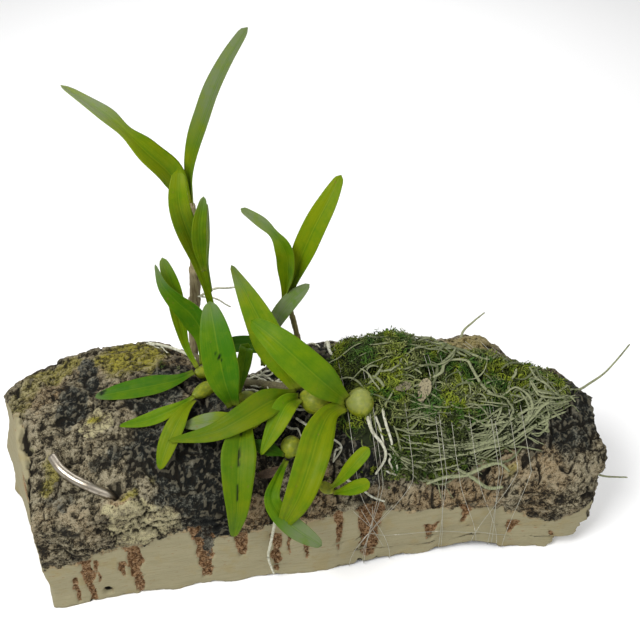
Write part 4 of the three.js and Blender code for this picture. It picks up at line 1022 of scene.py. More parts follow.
# tone is 0 for yellow green and 1 for deep green; grey is how far the blue grey sheen, a painted reflection,
# comes down from the tip
leaves = {
    "leaf_tall_upright": dict(
        spine=[(-26.8, 28, 113), (-25.8, 31.5, 125), (-19.8, 35, 140), (-14, 38, 151.6), (-6.4, 41, 161.8)],
        width=7, face=(-0.7, -0.62, 0.35), faceEnd=(-0.7, -0.4, 0.6), fold=20, widest=0.46, tip=0.42, taper=3,
        tone=0.3, grey=0.62, shade=0.25),
    "leaf_tall_left": dict(
        spine=[(-27.6, 28, 112.5), (-32, 27, 125), (-38, 26, 134), (-46, 29, 143), (-59, 38, 150)],
        width=9.4, face=(0.3, -0.75, 0.6), faceEnd=(0.4, 0.2, 0.85), fold=12, widest=0.3, tip=0.42, twist=0.6,
        tone=0.1, grey=0.4),
    "leaf_tall_front": dict(
        spine=[(-22.8, 18.6, 49.6), (-23, 18.6, 66), (-24.4, 18.6, 82), (-26.6, 16, 102), (-30, 12.4, 126),
               (-29.2, 17, 133.6)],
        width=6.8, face=(0.1, -0.85, 0.4), faceEnd=towards, fold=20, base=0.34, neck=0.4, widest=0.8, tip=0.42,
        tone=0.22, shade=0.15),
    "leaf_tall_small": dict(
        spine=[(-25.3, 14.8, 98.4), (-25.8, 12.2, 109), (-25.4, 10.2, 118.4), (-23.2, 10, 128.6)],
        width=4.6, face=(0.2, -0.8, 0.5), fold=14, base=0.4, tip=0.3, tone=0.4, grey=0.1),
    "leaf_tall_edge": dict(
        spine=[(-24, 20.4, 84.6), (-24.4, 21.6, 95), (-23.2, 23.4, 104), (-22.4, 25.4, 115)],
        width=3.6, face=(0.95, -0.2, 0.1), fold=12, base=0.5, tone=0.4, grey=0.3),
    "leaf_back_thin": dict(
        spine=[(-30.6, 9.6, 63), (-33.4, 16, 66), (-34.6, 19, 74), (-35.2, 21, 86), (-37.6, 24.6, 97)],
        width=5.4, face=towards, fold=18, widest=0.66, base=0.34, tip=0.4, tone=0.4, grey=0.1),
    "leaf_back_wide": dict(
        spine=[(-28.6, 10.4, 63.4), (-27.8, 14.8, 71.5), (-30.4, 16.7, 78.9), (-35.1, 17.4, 85.7),
               (-38.2, 18.3, 91.3), (-39.8, 21, 97.6)],
        width=8.2, face=(-0.2, -0.75, 0.6), fold=14, widest=0.42, base=0.3, tip=0.07, taper=1.2, tone=0.85,
        grey=0.2),
    "leaf_front_broad": dict(
        spine=[(-20.4, -6.4, 60.6), (-22.4, -6, 71), (-23.4, -2, 80), (-24, 3.4, 86), (-24.6, 9.6, 90.5)],
        width=10.8, face=towards, fold=12, widest=0.45, base=0.42, tip=0.26, tone=0.85, grey=0.15,
        spots=[(0.52, -0.05, 0.5), (0.5, 0.08, 0.3), (0.545, 0.02, 0.35), (0.56, -0.16, 0.25),
               (0.49, -0.14, 0.22), (0.53, 0.13, 0.2), (0.42, 0.1, 0.25), (0.575, 0.06, 0.2)]),
    "leaf_oval_back": dict(
        spine=[(0, -3.6, 61.8), (-3.8, 0, 68.4), (-7, 5, 74.2), (-10, 11, 80.4), (-16.8, 23, 92.8)],
        width=10.6, face=(-0.2, -0.66, 0.7), fold=13, widest=0.4, base=0.42, tip=0.1, taper=1.6, tone=0.3,
        grey=0.2),
    "leaf_round_back": dict(
        spine=[(14.2, -8, 59.4), (6.8, -11, 72), (-0.5, -8.6, 80.4), (-6.8, -3.4, 85), (-12.8, 3, 87.2)],
        width=11, face=(-0.1, -0.62, 0.78), fold=12, widest=0.42, base=0.42, tone=0.5),
    "leaf_round_front": dict(
        spine=[(14, -9.2, 58), (8.8, -13.4, 60.4), (4.4, -20.6, 60.6), (0.6, -28.7, 57.4), (-4.3, -35.9, 50),
               (-10, -38, 38)],
        width=10.4, face=(0.1, -0.66, 0.72), faceEnd=(-0.2, -0.95, 0.2), fold=12, widest=0.4, base=0.4,
        tone=0.12, pleats=0.5, shade=0.12),
    "leaf_oval_left": dict(
        spine=[(-0.6, -4.8, 61.6), (-9.2, -9.4, 64), (-17.4, -14.2, 63.8), (-27, -17, 61.4),
               (-41.2, -16.6, 59.4)],
        width=9.4, face=(-0.1, -0.66, 0.72), faceEnd=(0, -0.4, 0.9), fold=14, widest=0.3, base=0.34, tip=0.12,
        taper=1.3, tone=0.2, shade=0.32),
    "leaf_oval_front": dict(
        spine=[(-0.2, -6, 60.4), (-4.4, -10.8, 63), (-8.4, -16, 60), (-13.8, -22, 54.4)],
        width=7.4, face=(-0.3, -0.7, 0.62), fold=18, widest=0.36, base=0.5, tip=0.12, taper=1.7, tone=0.3),
    "leaf_hanging_middle": dict(
        spine=[(-18, -12.2, 60), (-20.2, -20.6, 57.6), (-21.6, -28.8, 52.4), (-22.6, -34, 45),
               (-24.6, -36, 34)],
        width=11, face=(0, -0.8, 0.6), faceEnd=(0, -0.98, 0.1), fold=12, widest=0.3, base=0.55, tip=0.16,
        taper=1.5, tone=0.35, slit=(0.1, 0.66), shade=0.22),
    "leaf_front_curled": dict(
        spine=[(-6.2, -21.4, 49.6), (-9.4, -28, 50), (-12, -34, 47.6), (-7.6, -38, 40.4), (2, -41, 30.6)],
        width=6.4, face=(0, -0.7, 0.7), faceEnd=(0, -0.6, 0.8), fold=14, widest=0.6, base=0.3, tip=0.3,
        tone=0.6, grey=0.42),
    "leaf_dark_low": dict(
        spine=[(-6.6, -20.4, 51), (-11, -19.6, 53.8), (-17, -17.6, 55.4)],
        width=4.6, face=(0, -0.5, 0.85), fold=12, tone=1.0, shade=0.5),
    "leaf_left_flat": dict(
        spine=[(-31.8, 7, 63.6), (-37.6, 5, 62.8), (-46, 3.8, 62.6), (-54.6, 3, 62.4), (-63, 2.8, 61.6)],
        width=6.8, face=(0, -0.35, 0.93), fold=12, widest=0.45, base=0.28, tip=0.2, tone=0.9, grey=0.1,
        spots=[(0.93, 0.5, 0.8), (0.9, 0.66, 0.4)], shade=0.15),
    "leaf_left_low": dict(
        spine=[(-32.4, -3, 63), (-38.4, -6.4, 62.4), (-46.6, -8.4, 60.8), (-55.6, -9.2, 60.2)],
        width=4.6, face=(0.1, -0.5, 0.86), fold=14, tip=0.16, taper=1.8, tone=0.4),
    "leaf_left_drooping": dict(
        spine=[(-32.4, -3.6, 62.2), (-36, -8.4, 62.2), (-40.6, -15, 58.6), (-44.6, -21.6, 52.6)],
        width=6.2, face=(-0.3, -0.7, 0.62), fold=14, widest=0.5, tone=0.1, shade=0.15),
    "leaf_right_tall": dict(
        spine=[(1.2, 27.6, 73), (5.6, 28.6, 88), (10.6, 31, 98.6), (15.6, 34, 106.4), (20, 38, 112.4)],
        width=8, face=(-0.25, -0.75, 0.6), fold=16, widest=0.48, base=0.32, tip=0.3, tone=0.15),
    "leaf_right_folded": dict(
        spine=[(0.4, 27.2, 73), (1.2, 26.4, 84), (0.6, 27, 93), (-3.6, 30, 99.6), (-12, 36.6, 104)],
        width=7, face=(-0.7, -0.6, 0.35), faceEnd=(-0.1, -0.5, 0.85), fold=26, widest=0.38, base=0.4, tip=0.3,
        twist=0.68, taper=1.6, tone=0.35, grey=0.35),
    "leaf_right_grey": dict(
        spine=[(-9, 18.4, 51.6), (-8.4, 19, 58), (-4.4, 21.6, 67.4), (1.6, 24, 74.6), (8, 25.6, 79.6)],
        width=5.8, face=(-0.3, -0.7, 0.6), fold=14, widest=0.68, tone=0.8, grey=1.0),
    "leaf_new_upper": dict(
        spine=[(6.6, -29.6, 44), (9.4, -31, 49.6), (13.2, -30, 54.6), (18.4, -27.4, 58.6)],
        width=4.4, face=(-0.4, -0.7, 0.6), fold=12, tip=0.62, taper=3, widest=0.7, tone=0.25),
    "leaf_new_lower": dict(
        spine=[(7.4, -30.6, 42.6), (11.4, -33, 46.6), (17.6, -34.6, 51)],
        width=4.4, face=(0, -0.5, 0.85), fold=10, tip=0.62, taper=3, widest=0.66, tone=0.25),
    "leaf_dark_behind": dict(
        spine=[(3, 24.4, 52.4), (-8, 24.4, 55), (-17.6, 25, 56.4), (-27, 23.6, 55.6)],
        width=6, face=(0, -0.6, 0.8), fold=12, tone=1.0, shade=0.45),
    "leaf_pointing_down": dict(
        spine=[(-18.4, -1.6, 61), (-16.4, 2.6, 68), (-14.8, 7.4, 71), (-16, 10.6, 66)],
        width=4.8, face=(0.2, -0.6, 0.75), fold=12, tone=0.6, grey=0.1),
    "leaf_pale_low": dict(
        spine=[(-17.6, -10.6, 60), (-25.6, -10.8, 59.8), (-36.4, -10.8, 58.8)],
        width=5.4, face=(0, -0.35, 0.93), fold=10, tone=0.25, grey=0.6),
}


def leafWidthAt(t, base, tip, widest, neck, taper, twist):
    # share of the full width along the blade, narrower where the blade twists
    rising = base + (1 - base) * ease((t - neck) / (widest - neck))
    falling = 1 + (tip - 1) * (np.clip(t - widest, 0, 1) / (1 - widest)) ** taper
    narrow = 1 - 0.42 * np.exp(-((t - twist) / 0.09) ** 2) if twist else 1
    return narrow * np.where(t < widest, rising, falling)


def leafSurface(seed, spine, width, face, faceEnd=None, fold=16, base=0.3, tip=0.24, widest=0.5, neck=0,
                taper=2.6, twist=0, tone=0.3, grey=0.0, shade=0.0, pleats=0.0, spots=(), slit=None):
    stations, cells = leafLook["stations"], leafLook["cells"]
    path, along, length = smoothPath(spine, stations + 1)
    t = np.linspace(0, 1, stations + 1)
    looks = np.array(face) + (np.array(faceEnd or face) - np.array(face)) * t[:, None]
    across = unit(np.cross(along, looks))
    up = np.cross(across, along)
    half = width / 2 * leafWidthAt(t, base, tip, widest, neck, taper, twist)
    # blunt rounded tip
    blunt = min(max(half[-1] * 1.6 / length, 0.02), 0.08)
    near = np.clip((1 - t) / blunt, 0, 1)
    half = half * np.sqrt(np.clip(near * (2 - near), 0.02, 1))
    s = np.linspace(-1, 1, cells + 1)
    u = np.sign(s) * np.abs(s) ** 1.25
    angle = np.radians(fold * (1.9 - 0.9 * ease(t / 0.35)))[:, None]
    h = half[:, None]
    ripple = softNoise(t[:, None] * length / 11, np.sign(u)[None] * 3 + seed, 4)
    wave = leafLook["wave"] * ripple * ease(h / 2.5)
    lift = h * np.sin(angle) * np.abs(u)[None] ** 1.3 + wave * np.abs(u)[None] ** 2
    lift = lift + (0.05 + 0.22 * pleats) * np.cos(u[None] * (14 - 6 * pleats)) * ease(h / 2)
    dip = np.exp(-(u[None] * h / leafLook["groove"]) ** 2) * ease(h / 1.2) * (1 - 0.75 * t[:, None])
    thick = (leafLook["edge"] + (leafLook["middle"] - leafLook["edge"]) * (1 - np.abs(u) ** 1.5))[None] / 2
    thick = thick * (0.55 + 0.45 * near[:, None])
    flat = path[:, None] + across[:, None] * (u[None] * h * np.cos(angle))[..., None]
    top = flat + up[:, None] * (lift + thick - leafLook["grooveDepth"] * dip)[..., None]
    under = flat + up[:, None] * (lift - thick - leafLook["keelDepth"] * dip)[..., None]
    row = cells + 1
    pts = np.concatenate([top, under], 1).reshape(-1, 3)
    faces = []
    for i in range(stations):
        a, b = i * 2 * row, (i + 1) * 2 * row
        for c in range(cells):
            faces.append((a + c, a + c + 1, b + c + 1, b + c))
            faces.append((a + row + c + 1, a + row + c, b + row + c, b + row + c + 1))
        faces.append((a + row, a, b, b + row))
        faces.append((a + cells, a + row + cells, b + row + cells, b + cells))
    last = stations * 2 * row
    for c in range(cells):
        faces.append((c + 1, c, row + c, row + c + 1))
        faces.append((last + c, last + c + 1, last + row + c + 1, last + row + c))

    def both(grid):
        return np.concatenate([grid, grid], 1).ravel()

    tt, uu = np.broadcast_arrays(t[:, None], u[None])
    spot = np.zeros_like(tt)
    for spotT, spotU, radius in spots:
        away = np.hypot((tt - spotT) * length, (uu - spotU) * h)
        spot = np.maximum(spot, ease(1.5 - away / radius))
    # a torn slit along the midrib is painted as dark dashes: painted shade seen through the tear
    if slit:
        ragged = softNoise(tt * length / 1.3, 3.3, 1)
        dashes = ease((np.sin((tt * length) * 0.62) + 0.3 + 0.5 * ragged) / 0.3)
        dashes = dashes * ease(1.4 - np.abs(uu + 0.03 * ragged) * h / (0.34 + 0.1 * ragged))
        spot = np.maximum(spot, dashes * (tt > slit[0]) * (tt < slit[1]))
    below = np.concatenate([np.zeros_like(tt), np.ones_like(tt)], 1).ravel()
    marks = {
        "across": both(uu), "lengthwise": both(tt), "tone": np.full(len(pts), tone),
        "greyness": both(ease((tt - (1 - grey)) / 0.35 + 0.3) if grey else tt * 0),
        "spot": both(spot), "underside": below, "shade": np.full(len(pts), shade),
        "millimetres": both(tt * length),
    }
    uv = np.stack([both(uu) * 0.5 + 0.5, both(tt)], 1)
    return pts, faces, marks, uv


def leafFinish():
    c = leafLook
    material, where = newFinish("leafBlade", 0.5, {
        "Subsurface Weight": 0.06, "Subsurface Radius": (0.0008, 0.0014, 0.0002), "Subsurface Scale": 0.4,
        "Specular IOR Level": 0.07})
    across, run, tree = mark(where, "across"), mark(where, "millimetres"), where.id_data

    def veinNoise(wide, long, place, values):
        # veins run along the blade: fine noise that is long in the run and narrow across it
        lane = addNode(tree, "ShaderNodeCombineXYZ", {0: times(across, wide), 1: times(run, long), 2: place})
        values = {"Vector": lane.outputs[0], "Scale": 1.0, **values}
        return addNode(tree, "ShaderNodeTexNoise", values).outputs["Fac"]

    veins = veinNoise(7.0, 0.035, mark(where, "tone"), {"Detail": 3.0, "Roughness": 0.6})
    fineVeins = veinNoise(30.0, 0.1, 0.0, {"Detail": 2.0})
    clouds = grain(where, 6, 4, 0.6)
    # one half of each folded blade is painted a deeper green: painted shade on that side of the fold
    shadedHalf = times(spread(across, -0.06, 0.06), 0.16)
    tone = plus(mark(where, "tone"), times(calc("SUBTRACT", clouds, 0.55), 1.5))
    tone = plus(tone, shadedHalf)
    blade = colourRamp(tone, [(0.0, c["yellow"]), (0.42, c["fresh"]), (1.0, c["deep"])])
    away = calc("ABSOLUTE", across)
    # the blue grey towards the tip is a painted reflection on the glossy blade
    bloom = times(mark(where, "greyness"), spread(clouds, 0.2, 0.6))
    beside = times(spread(away, 0.03, 0.07), spread(away, 0.2, 0.08))
    blade = layered(blade, [
        (times(spread(veins, 0.5, 0.66), 0.22), c["deep"]),
        (times(spread(fineVeins, 0.5, 0.7), 0.12), c["rib"]),
        (times(bloom, 0.85), c["grey"]),
        (times(mark(where, "underside"), 0.45), c["grey"]),
        (times(spread(away, 0.06, 0.015), 0.25), c["rib"]),  # middle rib
        (times(beside, 0.3), c["deep"]),
        (times(spread(away, 0.94, 1.0), 0.5), c["rib"]),  # margin
        (times(spread(mark(where, "lengthwise"), 0.12, 0.0), 0.6), c["foot"]),
        (times(spread(grain(where, 2.2, 3, 0.5), 0.7, 0.76), 0.5), c["scar"]),
        (mark(where, "shade"), c["dark"]),
        # the leaf's own dark specks, and the painted shade of the torn slit
        (mark(where, "spot"), c["spot"]),
    ])
    gloss = plus(times(clouds, 0.25), times(fineVeins, 0.1))
    ridges = plus(times(veins, 0.7), times(fineVeins, 0.3))
    return paint(material, blade, ridges, 0.16, plus(gloss, 0.3))


leafBlade = leafFinish()
darkLeaves = ("leaf_dark_low", "leaf_dark_behind", "leaf_right_grey")
for seed, (name, spec) in enumerate(leaves.items()):
    pts, faces, marks, uv = leafSurface(seed * 3.7, **spec)
    piece = makePiece(camel(name), pts, faces, leafBlade, marks, uv)
    finishPiece(piece, "leaf_dark" if name in darkLeaves else "leaf", name)
print("leaves:", len(leaves))


# canes, rhizome and the dry sheath: papery skins in overlapping lengths

canes = {
    "cane_tall": dict(points=[(-32, 28, 49.5), (-30.4, 29, 66), (-28.4, 29, 84), (-27.2, 28.4, 100),
                              (-27, 28, 114)],
                      radii=[1.6, 1.7, 1.9, 1.6, 1.1], joints=[0.0, 0.2, 0.4, 0.6, 0.8]),
    "cane_right": dict(points=[(4.4, 25.4, 48.5), (3.4, 26.4, 58), (2, 27.6, 66), (1, 28, 73)],
                       radii=[1.1, 1, 0.9, 0.9], joints=[0.0, 0.33, 0.66]),
}
caneLook = {
    "sides": 28, "count": 110, "flare": 0.22,
    # pale, middle and dark colour of each skin
    "skins": {
        "caneSheath": ((0.26, 0.22, 0.12), (0.15, 0.11, 0.05), (0.035, 0.022, 0.01)),
        "oliveSheath": ((0.17, 0.15, 0.045), (0.1, 0.07, 0.022), (0.03, 0.02, 0.008)),
        "rhizomeScale": ((0.13, 0.115, 0.05), (0.07, 0.055, 0.022), (0.015, 0.011, 0.005)),
        "witheredSheath": ((0.07, 0.04, 0.018), (0.032, 0.018, 0.008), (0.01, 0.006, 0.003)),
    },
}


def caneFinish(name):
    pale, middle, dark = caneLook["skins"][name]
    material, where = newFinish(name, 0.78)
    fibres = grain(where, 0.5, 4, 0.6, 0, (1, 1, 0.06))
    patches = grain(where, 5, 4, 0.6)
    skin = colourRamp(fibres, [(0.3, dark), (0.45, middle), (0.62, pale)])
    skin = blendColour(times(spread(patches, 0.4, 0.6), 0.6), skin, pale)
    return paint(material, skin, fibres, 0.22)


def caneLine(points, radii, joints):
    # each sheath is tight at its foot and stands off a little at its open upper end
    line = smoothLine(points, radii, caneLook["count"])
    share = np.linspace(0, 1, caneLook["count"])
    step = np.zeros(len(share))
    for low, high in zip(joints, joints[1:] + [1.001]):
        inside = (share >= low) & (share < high)
        step = np.where(inside, (share - low) / (high - low), step)
    line["radius"] = line["radius"] * (1 + caneLook["flare"] * (step ** 3 - 0.25))
    return line


for (name, spec), skin in zip(canes.items(), ("caneSheath", "oliveSheath")):
    piece = sweepPiece(camel(name), [caneLine(**spec)], caneFinish(skin), caneLook["sides"], 1, 0.5, 2.2)
    finishPiece(piece, "cane", name)


def onBark(x, y, lift):
    return (x, y, float(barkTop(np.array(float(x)), np.array(float(y)))) + lift)


rhizomePlan = [(-32, 25), (-28, 16), (-21, 8.5), (-12, 4.6), (-4, 1), (5, -0.4), (13, -2.4), (20, -3)]
rhizomePoints = [onBark(x, y, 1) for x, y in rhizomePlan]
rhizomeJoints = [i / 14 for i in range(14)]
rhizomeLine = caneLine(rhizomePoints, [1.1, 1.4, 1.2, 1.4, 1.2, 1.3, 1.1], rhizomeJoints)
rhizomeSkin = caneFinish("rhizomeScale")
finishPiece(sweepPiece("rhizomeSkin", [rhizomeLine], rhizomeSkin, 20, 1, 0.5, 1.6), "cane", "rhizome")
drySheathSpec = dict(spine=[(-6.6, -22, 47.6), (-10.6, -23, 46.6), (-15.4, -23, 46)], width=3.4,
                     face=(0, -0.6, 0.8), fold=30, base=0.6, tip=0.4)
pts, faces, marks, uv = leafSurface(2.0, **drySheathSpec)
finishPiece(makePiece("sheathDry", pts, faces, caneFinish("witheredSheath")), "cane", "sheath_dry")
print("canes and rhizome done")


# roots

roots = {
    "root_long": dict(points=[(21, -11.2, 54.4), (22, -15.8, 51.8), (24.6, -18.8, 49), (25.4, -20.4, 47.2),
                              (25, -22, 45.2), (21.4, -25.4, 42.4)], radii=[0.9, 0.8, 0.7, 0.5]),
    "root_joining": dict(points=[(26.4, -9, 55), (26.6, -13.6, 52.8), (27.6, -18, 49.6), (28.4, -21.2, 44.8),
                                 (29.2, -24, 40.6)], radii=[0.8, 0.7, 0.5]),
    "root_under_bulbs": dict(points=[(-1.6, -9.4, 55.2), (4.4, -13.6, 52.6), (11.6, -18.4, 49.6),
                                     (8.4, -22, 46.6)], radii=[0.8, 0.7, 0.5]),
    "root_low": dict(points=[(12, -26, 42.4), (15.4, -27.6, 40.8), (19.6, -29.6, 37), (24, -30, 34)],
                     radii=[0.6, 0.6, 0.45]),
    "root_face": dict(points=[(-10.4, -29.4, 37), (-11.6, -31.8, 31.6), (-13.2, -32, 21.6), (-14.2, -32, 14.8),
                              (-12.6, -32, 3.6)], radii=[0.8, 0.8, 0.7, 0.5]),
    "root_ridge": dict(points=[onBark(-47, 31.6, 0.7), onBark(-43, 30, 0.9), onBark(-39, 29, 0.8),
                               onBark(-35.4, 27, 0.8), onBark(-31, 20, 0.9)], radii=[0.5, 0.7, 0.6]),
    "root_tangle": dict(points=[onBark(-18, 9, 0.9), onBark(-12, 5, 1.3), onBark(-7, 4, 0.9),
                                onBark(-2, 6, 1.2), onBark(3, 3, 0.9)], radii=[0.7, 0.8, 0.7]),
    "root_stub": dict(points=[onBark(13, 21, 0.4), onBark(13, 19, 3.4), onBark(13.4, 15, 1.6),
                              onBark(15, 12.6, 0.8)],
                      radii=[1.2, 0.9, 0.7, 0.6]),
    "root_thin_upper": dict(points=[(-27.8, 27.8, 77), (-22.4, 27, 80.4), (-18.6, 27.4, 79.8), (-13, 28, 79.4)],
                            radii=[0.5, 0.45, 0.35]),
}
rootLook = {
    "sides": 14, "count": 64, "white": (0.58, 0.58, 0.48), "cream": (0.4, 0.39, 0.28),
    "grey": (0.17, 0.17, 0.12),
    # how much thinner than its solid each root is
    "slim": {"root_long": 0.68, "root_joining": 0.62, "root_under_bulbs": 0.55, "root_low": 0.6,
             "root_face": 0.6,
             "root_ridge": 0.8, "root_tangle": 0.6, "root_stub": 0.85, "root_thin_upper": 0.8},
}
# finer roots that the solids leave out: points in the plan, half thickness
fineRoots = [
    ([(-16.3, 10.8), (-13.8, 5.5), (-10.4, 6.7), (-6.7, 1.3)], 0.36),
    ([(-16.3, 1.9), (-12.9, 0.6), (-10.3, -2.1), (-7.2, -0.4)], 0.34),
    ([(-13.9, 12.1), (-11.6, 7.8), (-9.4, 3.3), (-8.7, -1.6)], 0.3),
    ([(-17.4, 7.6), (-13.2, 8.8), (-9, 9.6), (-4, 8.2), (1, 9.4)], 0.38),
    ([(-15, 5), (-11.6, 3), (-7.4, 4.2), (-3, 2.6), (1.6, 4.8)], 0.34),
    ([(-12, 10.6), (-8.2, 7.4), (-5, 8.8), (-0.6, 6)], 0.32),
    ([(-10.6, 13), (-9.4, 8), (-6.4, 4), (-5.6, -0.6)], 0.28),
    ([(-1.9, -5.9), (0.5, -7.1), (3.1, -6.9), (5.4, -8.4)], 0.4),
    ([(-5.1, -10.5), (-3.4, -12), (-1.5, -11.8), (-0.2, -14.1)], 0.36),
    ([(-3.3, -4.5), (-0.9, -5.4), (1.9, -5.9)], 0.3),
    ([(11.8, -18.7), (9.8, -19.4), (9, -20.7), (8.5, -21.7)], 0.34),
    ([(3.5, 26.3), (6.5, 25.3), (8.9, 24.6), (10.6, 19.7)], 0.3),
    ([(-47.6, 31), (-45.5, 29.4), (-42.9, 28.7), (-40.1, 24.2)], 0.24),
    ([(26.1, -20), (27.2, -21), (26.4, -22.3), (28.2, -23.6)], 0.36),
    ([(23.1, -8.5), (24.7, -14.4), (25.2, -18.9)], 0.4),
    ([(24.3, -23.5), (27.1, -24.3), (30.4, -24.4)], 0.36),
]
# thin roots of the tall cane that stand free
freeRoots = [[(-28.4, 27.6, 77.4), (-23.4, 27.5, 76), (-21.6, 27.5, 74.9), (-19.7, 27.5, 72.9),
              (-17.9, 27.5, 71.3)]]


def rootFinish(name, light, middle, dark):
    material, where = newFinish(name, 0.72)
    felt = grain(where, 0.8, 5, 0.65)
    bands = grain(where, 4, 3, 0.5)
    skin = colourRamp(felt, [(0.3, dark), (0.46, middle), (0.6, light)])
    skin = blendColour(times(spread(bands, 0.45, 0.65), 0.5), skin, middle)
    return paint(material, skin, felt, 0.2)


rootSkin = rootFinish("rootSkin", rootLook["white"], rootLook["cream"], rootLook["grey"])
for name, spec in roots.items():
    radii = [r * rootLook["slim"][name] for r in spec["radii"]]
    piece = sweepPiece(camel(name), [smoothLine(spec["points"], radii, rootLook["count"])], rootSkin,
                       rootLook["sides"], 1, 0.14, 1.1)
    finishPiece(piece, "root", name)


def fineRootLine(plan, half, seed):
    path = smoothPath([(x, y, 0) for x, y in plan], 30)[0]
    x, y = path[:, 0], path[:, 1]
    arch = 0.8 * np.sin(np.linspace(0, math.pi, 30)) * (0.6 + softNoise(np.arange(30) / 8, seed, 3))
    rise = 0.5 + half + arch
    points = np.stack([x, y, barkTop(x, y) + barkRelief(x, y)[0] * 0.5 + rise], 1)
    length = float(np.linalg.norm(np.diff(points, axis=0), axis=1).sum())
    return {"points": points, "radius": roundedRadius([half, half, half * 0.7], 30, length), "length": length}


fineLines = [fineRootLine(plan, half, i * 2.3) for i, (plan, half) in enumerate(fineRoots)]
fineLines += [smoothLine(points, [0.34, 0.26], 40) for points in freeRoots]
finishPiece(sweepPiece("fineRoots", fineLines, rootSkin, 8, 1, 0.12, 0.9), "root")
print("roots:", len(roots) + len(fineLines))


# moss pad: a dark core, leafy shoots and a tangle of flattened strands

mossShape = {
    "centre": (50, 0), "height": 8.5,
    "outline": [(13, 18), (10, 2), (11, -13), (26, -24), (43, -24), (62, -23), (78, -17), (90, -10), (85, -5.5),
                (77, 0), (68, 6.5), (56, 11), (44, 17), (30, 22)],
    # thin places where the white roots lie open: x, y, half length, half depth, how bare
    "thin": [(22, -18, 7.5, 7.5, 0.95), (26, -14, 4, 8, 0.95), (14, -12, 6, 8, 0.6), (60, 13, 13, 4, 0.7),
             (74, 5.5, 9, 4, 0.7)],
    # where the pad is lower, so that the bark behind it shows
    "low": [(62, 11, 12, 9, 0.7), (74, 5, 10, 6.5, 0.65)],
    # darker moss: painted shade under the strand bundle, and a darker patch at the pad's left
    "shaded": [(20, 6, 8, 12, 0.6), (16, -6, 6, 8, 0.5), (50, -20, 28, 5, 0.75), (72, -16, 12, 6, 0.75)],
}


def mossReach(angle):
    cx, cy = mossShape["centre"]
    outline = [(x - cx, y - cy) for x, y in mossShape["outline"]]
    reach = np.ones(np.shape(angle))
    cos, sin = np.cos(angle), np.sin(angle)
    for (px, py), (qx, qy) in zip(outline, outline[1:] + outline[:1]):
        cross = cos * (qy - py) - sin * (qx - px)
        cross = np.where(np.abs(cross) < 1e-9, 1e-9, cross)
        far = (px * (qy - py) - py * (qx - px)) / cross
        share = (px * sin - py * cos) / cross
        reach = np.where((far > 0) & (share >= -1e-6) & (share <= 1 + 1e-6), far, reach)
    return reach


def mossTop(x, y):
    cx, cy = mossShape["centre"]
    reach = mossReach(np.arctan2(y - cy, x - cx))
    distance = np.hypot(x - cx, y - cy) / reach
    dome = mossShape["height"] * (1 - np.clip(distance, 0, 1) ** 3) ** 0.7
    raised = dome * (1 + 0.22 * softNoise(x / 7, y / 6, 51)) + 0.6 * softNoise(x / 3, y / 3, 13)
    raised = lessened(raised, mossShape["low"], x, y, 0.8)
    return barkTop(x, y) + np.where(distance < 1, raised, 0)


def overMoss(x, y, lift):
    return float(mossTop(np.array(float(x)), np.array(float(y)))) + lift


mossLook = {
    "sectors": 150, "rings": 46, "lump": 1.5, "lumpSize": 6.0, "sink": 1.2, "hollow": 3.0,
    "curls": 0.62, "fronds": 0.4, "shoots": 0.6, "curlPoints": 9, "shootLeaves": 7,
    "deep": (0.004, 0.007, 0.002), "olive": (0.085, 0.115, 0.02), "straw": (0.29, 0.31, 0.12),
    "green": (0.026, 0.1, 0.007), "yellow": (0.2, 0.25, 0.009),
}


def mossHollows(x, y):
    return ease((layeredNoise(x / 6, y / 5, 33) - 0.3) / 0.35)


def mossLumps(x, y):
    size = mossLook["lumpSize"]
    return mossLook["lump"] * layeredNoise(x / size, y / size, 37) - mossLook["hollow"] * mossHollows(x, y)


def mossCover(x, y):
    # 1 where the moss is thick, towards 0 where the roots show
    cover = np.ones(np.shape(x))
    for px, py, rx, ry, bare in mossShape["thin"]:
        reach = np.hypot((x - px) / rx, (y - py) / ry) + 0.25 * layeredNoise(x / 3, y / 3, 53)
        cover = np.minimum(cover, 1 - bare * ease((1.1 - reach) / 0.4))
    return cover


def mossLight(x, y):
    return lessened(np.ones(np.shape(x)), mossShape["shaded"], x, y, 0.6)


